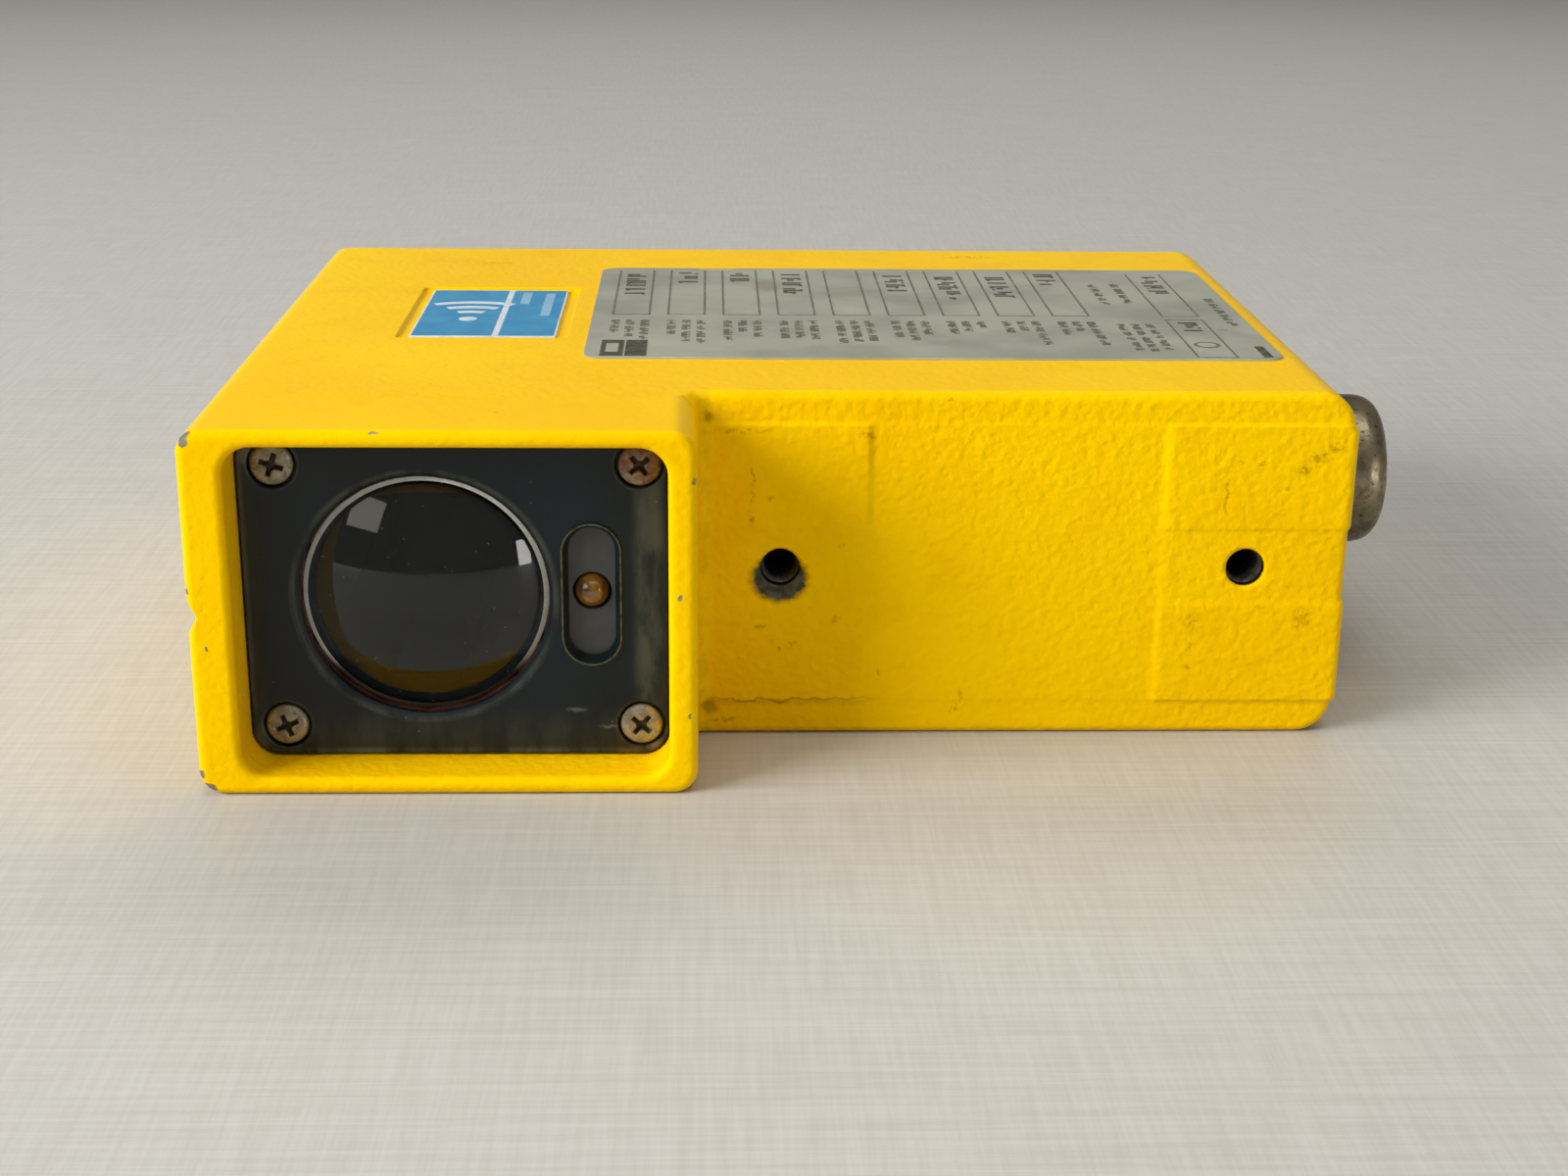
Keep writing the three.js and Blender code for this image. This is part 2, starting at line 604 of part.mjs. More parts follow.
const boardScrew = crossScrew(2.8, 1.8, 1, 6);
corners(BOARD_POSTS.x, BOARD_POSTS.y).forEach(([x, y], i) =>
  driveScrew(`board_screw_${i + 1}`, boardScrew, "+z", x, y, deck, boardGroup),
);

// The transformer's laminated core: one block with two windows for the coil.
function transformerCore() {
  const { x, y, length, width, height, leg } = TRANSFORMER;
  const block = box(x - length / 2, x + length / 2, y - width / 4, y + width / 4, deck, deck + height);
  const opening = (x0, x1) => box(x0, x1, y - width, y + width, deck + leg, deck + height - leg);
  const limb = leg / 2 + 0.5;
  return cut(block, opening(x - length / 2 + leg, x - limb), opening(x + limb, x + length / 2 - leg));
}
place("transformer_core", transformerCore(), coreSteel, boardGroup);

// The wound and taped coil, which fills the core's windows and surrounds its middle limb.
function transformerCoil() {
  const { x, y, length, width, height, leg } = TRANSFORMER;
  const half = length / 2 - leg - GAP;
  const low = deck + leg + GAP;
  const coil = box(x - half, x + half, y - width / 2, y + width / 2, low, deck + height - leg - GAP);
  const limb = leg / 2 + 0.5 + GAP;
  return cut(coil, box(x - limb, x + limb, y - width / 4 - GAP, y + width / 4 + GAP, 0, HEIGHT));
}
place("transformer_coil", transformerCoil(), tapeYellow, boardGroup);

const relay = place(
  "output_relay", alongZ(roundedRect(-11, -6.5, 11, 6.5, 1), 0, 16, 1), relayBlue, boardGroup,
);
relay.position.set(88, 94, deck);

const capacitor = place(
  "smoothing_capacitor",
  turned([[0, 0], [6, 0], [6.4, 0.6], [6.4, 1.6], [6, 2.2], [6.4, 2.8], [6.4, 24], [5.4, 25], [0, 25]],
    "z", 0, 0, 0),
  wireGrey, boardGroup,
);
capacitor.position.set(70, 66, deck);

function fuseHolder() {
  const base = box(-11, 11, -4, 4, 0, 3);
  const clip = (x) => box(x - 2, x + 2, -3.4, 3.4, 2, 8.5);
  return join(base, clip(-8), clip(8), pegX(2.6, -10, 10, 0, 6.5));
}
const fuse = place("fuse", fuseHolder(), aluminium, boardGroup);
fuse.position.set(79, 44.5, deck);

function wireHeader() {
  const ways = [-9, -3, 3, 9];
  const screws = ways.map((y) => pegZ(1.8, 7.5, 12, 0, y, COARSE));
  const mouths = ways.map((y) => box(2, 6, y - 1.8, y + 1.8, 2, 6));
  return cut(box(-5, 5, -13, 13, 0, 9), ...screws, ...mouths);
}
const header = place("terminal_block", wireHeader(), boardGreen, boardGroup);
header.position.set(134, 77, deck);

// A finned aluminium heat sink for the voltage regulator.
function heatSink() {
  const fins = [0, 1, 2, 3, 4].map((i) => box(i * 3.4, i * 3.4 + 1.2, 0, 12, 0, 20));
  return join(box(0, 14.8, 0, 2.2, 0, 20), ...fins);
}
const sink = place("heat_sink", heatSink(), aluminium, boardGroup);
sink.position.set(122, 50, deck);

// ---------- Rear board with its adjusters ----------

const rearFace = REAR_BOARD.y + REAR_BOARD.thickness + 0.1;
place(
  "rear_board",
  box(...REAR_BOARD.x, REAR_BOARD.y, REAR_BOARD.y + REAR_BOARD.thickness, ...REAR_BOARD.z),
  boardGreen,
);

// The pin strip that stands the rear board on the main board.
const boardLink = place(
  "board_header",
  join(box(80, 130, 108.5, 111.6, 0, 2.6), box(80, 130, 111.5, 112.8, 0, 9)),
  blackPlastic, boardGroup,
);
boardLink.position.z = deck;

function trimmerBody() {
  const { half, depth, rotor } = ADJUSTER;
  return cut(box(-half, half, 0, depth, -half, half), pegY(rotor + GAP, 1.2, depth + 1, 0, 0));
}
const trimmer = place("trimmer_body", trimmerBody(), relayBlue);
trimmer.position.set(ADJUSTER.x, rearFace, ADJUSTER.z);

// The trimmer's rotor, with the slot that the spindle's tongue drives.
function trimmerRotor() {
  const { depth, rotor } = ADJUSTER;
  return cut(pegY(rotor, 1.5, depth + 1, 0, 0), box(-3.4, 3.4, depth - 1, depth + 2, -0.9, 0.9));
}
const rotor = place("trimmer_rotor", trimmerRotor(), whitePlastic);
rotor.position.copy(trimmer.position);

// The spindle that carries the setting out through the rear cover to a slotted, pointed head.
function adjusterSpindle() {
  const { shaft, head, depth } = ADJUSTER;
  const shaftFront = depth + 1 + GAP;
  const headFront = COVER_BACK - 1.9 - rearFace;
  const headBack = COVER_BACK - 0.3 - rearFace;
  const stem = pegY(shaft, shaftFront, headFront + 0.5, 0, 0);
  const tongue = box(-2.2, 2.2, depth - 0.7, shaftFront + 0.5, -0.6, 0.6);
  const knob = pegY(head, headFront, headBack, 0, 0);
  const slot = box(-head - 1, head - 1.2, headBack - 1, headBack + 1, -0.5, 0.5);
  const pointer = box(head - 2, head + 0.5, headBack - 0.5, headBack, -0.45, 0.45);
  return join(cut(join(stem, tongue, knob), slot), pointer);
}
const spindle = place("adjuster_spindle", adjusterSpindle(), whitePlastic);
spindle.position.copy(trimmer.position);

place(
  "adjuster_seal",
  turned(tube(ADJUSTER.shaft + 0.1, ADJUSTER.head - GAP, COVER_FRONT - 0.3, COVER_FRONT + 1), "y",
    ADJUSTER.x, 0, ADJUSTER.z),
  darkRubber,
);

const modeSwitch = place(
  "mode_switch_body", cut(box(-7, 7, 0, 5.4, -3.4, 3.4), box(-4.4, 4.4, 1.4, 6, -1.9, 1.9)), zincSteel,
);
modeSwitch.position.set(MODE_SWITCH.x, rearFace, MODE_SWITCH.z);

const slider = place(
  "mode_switch_slider", join(box(-2, 2, 1.8, 4.6, -1.5, 1.5), box(-1.6, 1.6, 4, 8, -1.3, 1.3)), blackPlastic,
);
slider.position.set(MODE_SWITCH.x - MODE_SWITCH.travel / 2, rearFace, MODE_SWITCH.z);

// ---------- Connector ----------

const plugGroup = new THREE.Group();
plugGroup.position.set(BODY_LENGTH, PLUG.y, PLUG.z);
root.add(plugGroup);
const reach = TOTAL_LENGTH - BODY_LENGTH;

// A solid turned round the connector's axis, measured out from the end face.
const roundPlug = (profile, facets = FINE) => turned(profile, "x", 0, 0, 0, facets);

function connectorShell() {
  const { bore, shank, shell } = PLUG;
  return roundPlug([
    [bore, -9],
    [shank, -9],
    [shank, 1.6],
    [10.6, 1.6],
    [10.6, 3],
    [shell, 3],
    [shell, reach - 1.2],
    [bore, reach - 1.2],
    [bore, -9],
  ]);
}
place("connector_shell", connectorShell(), nickel, plugGroup);
place("connector_seal", roundPlug(tube(PLUG.shank + 0.5, 10.4, 0.4, 1.4)), darkRubber, plugGroup);

function lockNut() {
  const corner = (i) => [12 * Math.cos((i * Math.PI) / 3), 12 * Math.sin((i * Math.PI) / 3)];
  const hex = Array.from({ length: 6 }, (_, i) => corner(i));
  const bore = pegX(PLUG.shank + GAP, -20, 5, 0, 0, FINE);
  return cut(alongX(polygon(hex), -WALL - 3.3, -WALL - GAP), bore);
}
place("connector_nut", lockNut(), nickel, plugGroup);

// The coupling ring turns freely on the shell and is held between its shoulder and its end.
function couplingRing() {
  const inner = PLUG.shell + GAP;
  return roundPlug([
    [inner, 3.3],
    [PLUG.ring - 0.6, 3.3],
    [PLUG.ring, 3.9],
    [PLUG.ring, reach - 3.4],
    [PLUG.ring - 0.4, reach - 1.7],
    [PLUG.ring - 1, reach - 0.7],
    [PLUG.ring - 2, reach],
    [inner, reach],
    [inner, 3.3],
  ]);
}
place("coupling_ring", couplingRing(), nickel, plugGroup);

const pinPlaces = [[0, 0]];
for (let i = 0; i < PINS.count; i++) {
  const angle = ((i + 0.25) * 2 * Math.PI) / PINS.count;
  pinPlaces.push([PINS.circle * Math.cos(angle), PINS.circle * Math.sin(angle)]);
}

function connectorInsert() {
  const block = pegX(PLUG.bore - GAP, -8, PLUG.face, 0, 0, FINE);
  return cut(block, ...pinPlaces.map(([y, z]) => pegX(PINS.radius + 0.2, -20, 20, y, z, COARSE)));
}
place("connector_insert", connectorInsert(), blackPlastic, plugGroup);

const pinShape = geometryOf(
  roundPlug(
    [[0, -11], [PINS.radius, -11], [PINS.radius, PLUG.tip - 0.8], [PINS.radius / 2, PLUG.tip], [0, PLUG.tip]],
    COARSE - 2,
  ),
);
pinPlaces.forEach(([y, z], i) => {
  const pin = place(`contact_pin_${i + 1}`, pinShape, gold, plugGroup);
  pin.position.set(0, y, z);
});

// ---------- Wiring ----------

// A section swept along a smooth line through the points given.
function swept(section, points, steps) {
  const path = new THREE.CatmullRomCurve3(points.map((p) => new THREE.Vector3(...p)));
  return solid(new THREE.ExtrudeGeometry(section, { steps, extrudePath: path, bevelEnabled: false }));
}

function roundSection(radius, sides) {
  const points = Array.from({ length: sides }, (_, i) => {
    const angle = (2 * Math.PI * i) / sides;
    return [radius * Math.cos(angle), radius * Math.sin(angle)];
  });
  return polygon(points);
}

// The supply wires from the connector's contacts to the terminal block.
place(
  "supply_loom",
  swept(
    roundSection(2.2, 8),
    [[154.5, 77, 26.5], [150, 77, 26.4], [146, 77, 22.5], [143.5, 77, 17.5], [139.8, 77, 16]],
    14,
  ),
  wireGrey,
);

// The flat cable from the back of the optics board down to the main board.
function signalRibbon() {
  const thickness = 0.8;
  const under = [[44, 24], [47, 23.7], [50, 21.6], [53, 17.6], [56, 14], [60, 12.3], [67, 12]];
  const over = under.map(([x, z]) => [x, z + thickness]).reverse();
  const start = OPTICS_BOARD_Y + 1.6 + GAP;
  return alongY(polygon([...under, ...over]), start, start + 10);
}
place("signal_ribbon", signalRibbon(), wireGrey);

// ---------- Labels ----------

const [labelX, labelY] = [TYPE_LABEL.x, TYPE_LABEL.y];
place(
  "type_label",
  alongZ(roundedRect(labelX[0], labelY[0], labelX[1], labelY[1], TYPE_LABEL.corner),
    HEIGHT + 0.05, HEIGHT + 0.05 + TYPE_LABEL.thickness, 3),
  labelFoil,
);
place("badge_label", box(...BADGE.x, ...BADGE.y, HEIGHT - BADGE.pocket + 0.05, HEIGHT - 0.1), badgeBlue);

export default root;
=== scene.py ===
"""Looks of the optical sensor head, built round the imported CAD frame.

Lengths are written in millimetres from the lower left front corner of the optics head, as the CAD source has
them, and turned into the frame's metres when a mesh is made.
"""

import math

import bmesh
import bpy
import numpy as np
from mathutils import Matrix, Vector


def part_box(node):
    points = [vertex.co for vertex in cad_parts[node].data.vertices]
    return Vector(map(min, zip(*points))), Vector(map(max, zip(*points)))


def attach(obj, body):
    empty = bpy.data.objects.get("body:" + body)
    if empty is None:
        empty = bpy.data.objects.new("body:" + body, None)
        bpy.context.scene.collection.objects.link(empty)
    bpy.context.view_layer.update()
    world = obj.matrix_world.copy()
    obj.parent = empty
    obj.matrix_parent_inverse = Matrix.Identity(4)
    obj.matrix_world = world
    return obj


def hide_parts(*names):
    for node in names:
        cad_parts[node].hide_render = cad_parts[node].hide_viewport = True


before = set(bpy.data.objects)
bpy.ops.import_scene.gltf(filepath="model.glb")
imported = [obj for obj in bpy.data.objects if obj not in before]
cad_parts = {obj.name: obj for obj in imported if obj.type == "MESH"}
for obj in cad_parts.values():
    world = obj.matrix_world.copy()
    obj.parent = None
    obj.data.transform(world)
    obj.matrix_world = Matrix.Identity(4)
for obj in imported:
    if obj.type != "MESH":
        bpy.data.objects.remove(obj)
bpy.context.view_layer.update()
random = np.random.default_rng(7)

MM = 0.001
CORNER = np.array(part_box("housing")[0]) / MM  # the head's lower left front corner, in millimetres


def at(x, y, z):
    """A point in the frame, in metres, from millimetres off the head's corner."""
    return Vector(tuple((CORNER + (x, y, z)) * MM))


# ---------- Driving dimensions, in millimetres ----------

HEIGHT, DEPTH, LENGTH = 53.0, 136.0, 166.0
HEAD_WIDTH, HEAD_REACH = 70.0, 22.6
HEAD_CORNER, BODY_CORNER, WALL = 3.5, 5.5, 4.5
MID_Z = HEIGHT / 2
GAP = 0.3
RECESS = {"x": (6.0, 66.0), "z": (2.5, 50.5), "corner": 4.0, "front": 8.5, "back": 11.5, "floor": 12.7}
FRAME_SCREWS = [(x, z) for x in (11.2, 61.9) for z in (7.3, 46.0)]
LENS = {"x": 31.5, "radius": 18.3, "clear": 17.6, "apex": 5.5, "dome": 17.2, "sag": 5.4, "edge": 16.65}
WINDOW = {"x": 55.0, "z": 27.0, "width": 6.4, "height": 19.0, "bead": 1.15}
MOUNTS = (82.0, 151.0)
PAD_Z = (5.2, 21.0, 32.3, 48.3)
PADS = ((HEAD_WIDTH - 3, 95.1, 1.0), (138.4, LENGTH + 5, 1.4))  # from X, to X, width of the edge
PAD_RAISE, BAND_RAISE, FIELD_RAISE, END_RAISE = 0.5, 0.3, 0.12, 0.5
BADGE = {"x": (24.0, 47.2), "y": (59.2, 95.6), "margin": 1.6, "pocket": 0.5}
LABEL = {"x": (52.3, 160.0), "y": (43.0, 114.5), "corner": 3.0, "thickness": 0.3}
COVER = {"inset": 2.0, "back": DEPTH - 0.8, "thickness": 4.2}
COVER_SCREWS = [(x, z) for x in (10.5, 155.5) for z in (10.5, 42.5)]
# Radius and height of each screw's head, and radius and length of its shank.
FRAME_SCREW, COVER_SCREW = (3.0, 1.9, 1.35, 6), (3.7, 2.0, 1.5, 6)
HEAD_DOME = 0.055  # how fast a screw's head falls away from its middle
ADJUSTER = (82.0, 31.0)
PLUG = {"y": 77.0, "ring": 12.6, "shell": 9.3, "bore": 7.9, "shank": 9.0, "face": 4.0}
MOUNT_DEPTH, MOUNT_BOSS, MOUNT_BORE = 14, 6.5, 2.75

# ---------- Solids from distance fields ----------
# A field gives, at arrays of x, y and z, about how far each point is outside the solid, below 0 inside.


def slab(v, low, high):
    return np.maximum(low - v, v - high)


def round_rect(u, v, u_range, v_range, left, right=None):
    """Signed distance to a rectangle whose left and right corner pairs have their own radii."""
    right = left if right is None else right
    mid_u, mid_v = sum(u_range) / 2, sum(v_range) / 2
    r = np.where(u < mid_u, left, right)
    du = np.abs(u - mid_u) - (u_range[1] - u_range[0]) / 2 + r
    dv = np.abs(v - mid_v) - (v_range[1] - v_range[0]) / 2 + r
    outside = np.hypot(np.maximum(du, 0), np.maximum(dv, 0))
    return outside + np.minimum(np.maximum(du, dv), 0) - r


def both(a, b, r=0.0):
    """Where two solids overlap, with the edge between them rounded to radius r."""
    if np.isscalar(r) and r == 0:
        return np.maximum(a, b)
    corner = np.hypot(np.maximum(a + r, 0), np.maximum(b + r, 0))
    return np.minimum(np.maximum(a, b), -r) + corner


def either(a, b, r=0.0):
    """Two solids joined, with a fillet of radius r in the corner between them."""
    if r == 0:
        return np.minimum(a, b)
    corner = np.hypot(np.minimum(a - r, 0), np.minimum(b - r, 0))
    return np.maximum(np.minimum(a, b), r) - corner


def minus(a, b, r=0.0):
    """The first solid with the second cut out of it, and the cut's edge rounded to radius r."""
    return both(a, -b, r)


def smooth(v, low, high):
    """0 below low, 1 above high and a smooth rise between."""
    t = np.clip((v - low) / (high - low), 0, 1)
    return t * t * (3 - 2 * t)


def plateau(v, low, high, edge):
    """1 between low and high and 0 outside, with soft edges."""
    half = edge / 2
    return smooth(v, low - half, low + half) * (1 - smooth(v, high - half, high + half))


def outer(x, z, inset, left, right=None, width=LENGTH):
    """Signed distance to the housing's outline from the front, drawn in all round by the inset."""
    return round_rect(x, z, (inset, width - inset), (inset, HEIGHT - inset), left, right)


def circle(u, v, centre, radius):
    return np.hypot(u - centre[0], v - centre[1]) - radius


def window_slot(x, z, extra=0.0):
    """Signed distance to the indicator's round-ended slot, made wider and higher by the extra."""
    width, height = WINDOW["width"] + extra, WINDOW["height"] + extra
    reach, up = (height - width) / 2, z - WINDOW["z"]
    return np.hypot(x - WINDOW["x"], up - np.clip(up, -reach, reach)) - width / 2


CORNERS = [np.array(((n >> 2) & 1, (n >> 1) & 1, n & 1)) for n in range(8)]
EDGES = [(a, b) for i, a in enumerate(CORNERS) for b in CORNERS[i + 1:] if np.abs(a - b).sum() == 1]


def gradient(field, p, h=0.02):
    g = np.empty_like(p)
    for axis in range(3):
        step = np.zeros(3)
        step[axis] = h
        up, down = p + step, p - step
        g[:, axis] = (field(*up.T) - field(*down.T)) / (2 * h)
    return g


def unit(vectors):
    return vectors / np.maximum(np.linalg.norm(vectors, axis=1), 1e-9)[:, None]


def net(field, low, high, step):
    """Vertices and quads of the field's surface in a box, as a surface net on a grid of the given step."""
    low, high = np.array(low, float), np.array(high, float)
    count = np.ceil((high - low) / step).astype(int) + 1
    axes = [low[i] + step * np.arange(count[i]) for i in range(3)]
    grids = np.meshgrid(*axes, indexing="ij", sparse=True)
    value = np.broadcast_to(field(*grids), count).astype(np.float32)
    inside = value < 0
    cells = tuple(count - 1)

    def at_corner(array, c):
        return array[tuple(slice(c[i], c[i] + cells[i]) for i in range(3))]

    number = sum(at_corner(inside, c).astype(np.int8) for c in CORNERS)
    active = (number > 0) & (number < 8)
    ids = np.argwhere(active)
    index = np.full(cells, -1, np.int64)
    index[active] = np.arange(len(ids))
    total, hits = np.zeros((len(ids), 3)), np.zeros(len(ids))
    for a, b in EDGES:
        va, vb = (at_corner(value, c)[active].astype(float) for c in (a, b))
        crossed = (va < 0) != (vb < 0)
        t = va[crossed] / (va[crossed] - vb[crossed])
        total[crossed] += a + t[:, None] * (b - a)
        hits[crossed] += 1
    points = low + (ids + total / hits[:, None]) * step
    for _ in range(2):
        slope = gradient(field, points)
        size = np.maximum((slope ** 2).sum(1), 0.25)
        move = slope * (field(*points.T) / size)[:, None]
        points -= np.clip(move, -step / 2, step / 2)
    quads = []
    for axis in range(3):
        here = [slice(1, n - 1) for n in count]
        here[axis] = slice(0, count[axis] - 1)
        there = list(here)
        there[axis] = slice(1, count[axis])
        start, stop = inside[tuple(here)], inside[tuple(there)]
        u, v = (axis + 1) % 3, (axis + 2) % 3
        for out, crossing in ((True, start & ~stop), (False, ~start & stop)):
            base = np.argwhere(crossing)
            base[:, u] += 1
            base[:, v] += 1
            ring = []
            for du, dv in ((-1, -1), (0, -1), (0, 0), (-1, 0)):
                cell = base.copy()
                cell[:, u] += du
                cell[:, v] += dv
                ring.append(index[tuple(cell.T)])
            quads.append(np.stack(ring if out else ring[::-1], 1))
    return points, np.concatenate(quads)


def flatten(mesh, tile, flat_limit):
    """Merges the flat parts of a fine mesh into large faces, one tile of the space at a time."""
    faces = np.repeat(np.arange(len(mesh.polygons)), 4)
    edge = np.empty(len(mesh.loops), int)
    mesh.loops.foreach_get("edge_index", edge)
    order = np.argsort(edge, kind="stable")
    edge, faces = edge[order], faces[order]
    crosses = (edge[1:] == edge[:-1]) & (tile[faces[1:]] != tile[faces[:-1]]).any(1)
    seam = np.zeros(len(mesh.edges), bool)
    seam[edge[1:][crosses]] = True
    mesh.edges.foreach_set("use_seam", seam)
    bm = bmesh.new()
    bm.from_mesh(mesh)
    bmesh.ops.dissolve_limit(bm, angle_limit=math.radians(flat_limit), verts=bm.verts, edges=bm.edges,
                             delimit={"SEAM"})
    bmesh.ops.triangulate(bm, faces=[f for f in bm.faces if len(f.verts) > 4])
    bm.to_mesh(mesh)
    bm.free()


BODY = "sensor_body"


def new_object(name, data):
    made = bpy.data.objects.new(name, data)
    bpy.context.scene.collection.objects.link(made)
    return made


def new_piece(name, mesh, node, slot, materials=None, body=BODY):
    """A piece that rides on a body and stands in for a CAD node, if one is given."""
    piece = new_object(name, mesh)
    for material in materials or [FINISHES[slot]]:
        mesh.materials.append(material)
    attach(piece, body)
    if node:
        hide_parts(node)


def mesh_of(name, points, faces):
    mesh = bpy.data.meshes.new(name)
    mesh.from_pydata(((CORNER + np.asarray(points, float)) * MM).tolist(), [], [list(f) for f in faces])
    mesh.validate()
    return mesh


def carved(name, field, low, high, steps, node, slot, body=BODY, flat_limit=0.6):
    """A piece from a distance field, on a grid of the fine step, the second of the two steps given, with the
    field's own normals; the first, quick step is not used.
    """
    step = steps[1]
    points, quads = net(field, low, high, step)
    mesh = mesh_of(name, points, quads.tolist())
    flatten(mesh, np.floor(points[quads].mean(1) / (20 * step)).astype(int), flat_limit)
    mesh.shade_smooth()
    co = np.empty(len(mesh.vertices) * 3)
    mesh.vertices.foreach_get("co", co)
    normal = unit(gradient(field, co.reshape(-1, 3) / MM - CORNER))
    mesh.normals_split_custom_set_from_vertices(normal.tolist())
    new_piece(name, mesh, node, slot, body=body)


def softened(profile, radius):
    """A closed profile with each of its corners cut back into a small arc."""
    points = [np.array(p, float) for p in profile]
    made = []
    for i, here in enumerate(points):
        ways = (points[i - 1] - here, points[(i + 1) % len(points)] - here)
        a, b = (here + way / np.linalg.norm(way) * min(radius, np.linalg.norm(way) * 0.45) for way in ways)
        made += [(1 - t) ** 2 * a + 2 * t * (1 - t) * here + t * t * b for t in np.linspace(0, 1, 4)]
    return made


AXES = {"x": ((0, 1, 0), (0, 0, 1), (1, 0, 0)), "y": ((1, 0, 0), (0, 0, 1), (0, 1, 0))}
SHARP_EDGE = math.radians(38)


def turned(name, profile, axis, centre, node, slot, materials=None, body=BODY, steps=96, closed=True,
           material_of=None):
    """A piece of revolution from [radius, distance along the axis] pairs about an axis through the centre."""
    u, v, along = (np.array(a, float) for a in AXES[axis])
    angles = np.linspace(0, 2 * math.pi, steps, endpoint=False)
    rings, points = [], []
    for radius, distance in profile:
        base = np.array(centre, float) + along * distance
        if radius < 1e-6:
            rings.append([len(points)])
            points.append(base)
        else:
            rings.append(list(range(len(points), len(points) + steps)))
            points += [base + radius * (math.cos(a) * u + math.sin(a) * v) for a in angles]
    faces, kinds = [], []
    pairs = list(zip(rings, rings[1:] + ([rings[0]] if closed else [])))
    for k, (one, two) in enumerate(pairs):
        for i in range(steps):
            j = (i + 1) % steps
            ring = [one[i % len(one)], one[j % len(one)], two[j % len(two)], two[i % len(two)]]
            ring = [p for n, p in enumerate(ring) if p not in ring[:n]]
            if len(ring) > 2:
                faces.append(ring)
                kinds.append(material_of(k) if material_of else 0)
    mesh = mesh_of(name, points, faces)
    bm = bmesh.new()
    bm.from_mesh(mesh)
    bmesh.ops.recalc_face_normals(bm, faces=bm.faces)
    bm.to_mesh(mesh)
    bm.free()
    mesh.polygons.foreach_set("material_index", kinds)
    mesh.shade_smooth()
    mesh.set_sharp_from_angle(angle=SHARP_EDGE)
    new_piece(name, mesh, node, slot, materials, body)


def outline(x_range, y_range, radius, steps=6):
    """Points round a rectangle with round corners, anticlockwise."""
    (x0, x1), (y0, y1) = ((low + radius, high - radius) for low, high in (x_range, y_range))
    quarter = np.linspace(0, math.pi / 2, steps + 1)
    return np.array([(x + radius * math.cos(a), y + radius * math.sin(a))
                     for turn, (x, y) in enumerate(((x1, y1), (x0, y1), (x0, y0), (x1, y0)))
                     for a in quarter + turn * math.pi / 2])


def plates(name, shapes, node, slot, materials=None):
    """Flat plates, each given as its outline, its low and high Z and how far its top edge is drawn in."""
    points, faces = [], []
    for rim, z0, z1, ease in shapes:
        n = len(rim)
        centre = (rim.min(0) + rim.max(0)) / 2
        half = (rim.max(0) - rim.min(0)) / 2
        levels = [(z0, 0.0), (z1 - ease, 0.0), (z1, ease)] if ease else [(z0, 0.0), (z1, 0.0)]
        start = len(points)
        for z, inset in levels:
            ring = centre + (rim - centre) * (1 - inset / half)
            points += [(px, py, z) for px, py in ring]
        for k in range(len(levels) - 1):
            a, b = start + k * n, start + (k + 1) * n
            faces += [[a + i, a + (i + 1) % n, b + (i + 1) % n, b + i] for i in range(n)]
        faces.append([start + i for i in reversed(range(n))])
        faces.append([start + (len(levels) - 1) * n + i for i in range(n)])
    new_piece(name, mesh_of(name, points, faces), node, slot, materials)


def bar(x0, x1, y0, y1, z0, z1):
    return (np.array([(x0, y0), (x1, y0), (x1, y1), (x0, y1)]), z0, z1, 0)


def disc(x, y, radius, z0, z1):
    turn = np.linspace(0, 2 * math.pi, 24, False)
    return (np.array([(x + radius * math.cos(a), y + radius * math.sin(a)) for a in turn]), z0, z1, 0)


# ---------- Materials ----------
# Places in a material are in millimetres off the head's corner, as everywhere else.


def tone(r, g, b):
    """A linear colour from the 0 to 255 numbers of a display."""
    linear = [((c / 255 + 0.055) / 1.055) ** 2.4 if c > 10 else c / 255 / 12.92 for c in (r, g, b)]
    return (*linear, 1.0)


def fill(tree, socket, value):
    if isinstance(value, bpy.types.NodeSocket):
        tree.links.new(value, socket)
    else:
        socket.default_value = value


def add_node(tree, kind, inputs, output=0, **settings):
    """Adds a shader node, makes its settings, fills or links its inputs, and returns one output."""
    node = tree.nodes.new("ShaderNode" + kind)
    for key, value in settings.items():
        setattr(node, key, value)
    for key, value in inputs.items():
        fill(tree, node.inputs[key], value)
    return node.outputs[output]


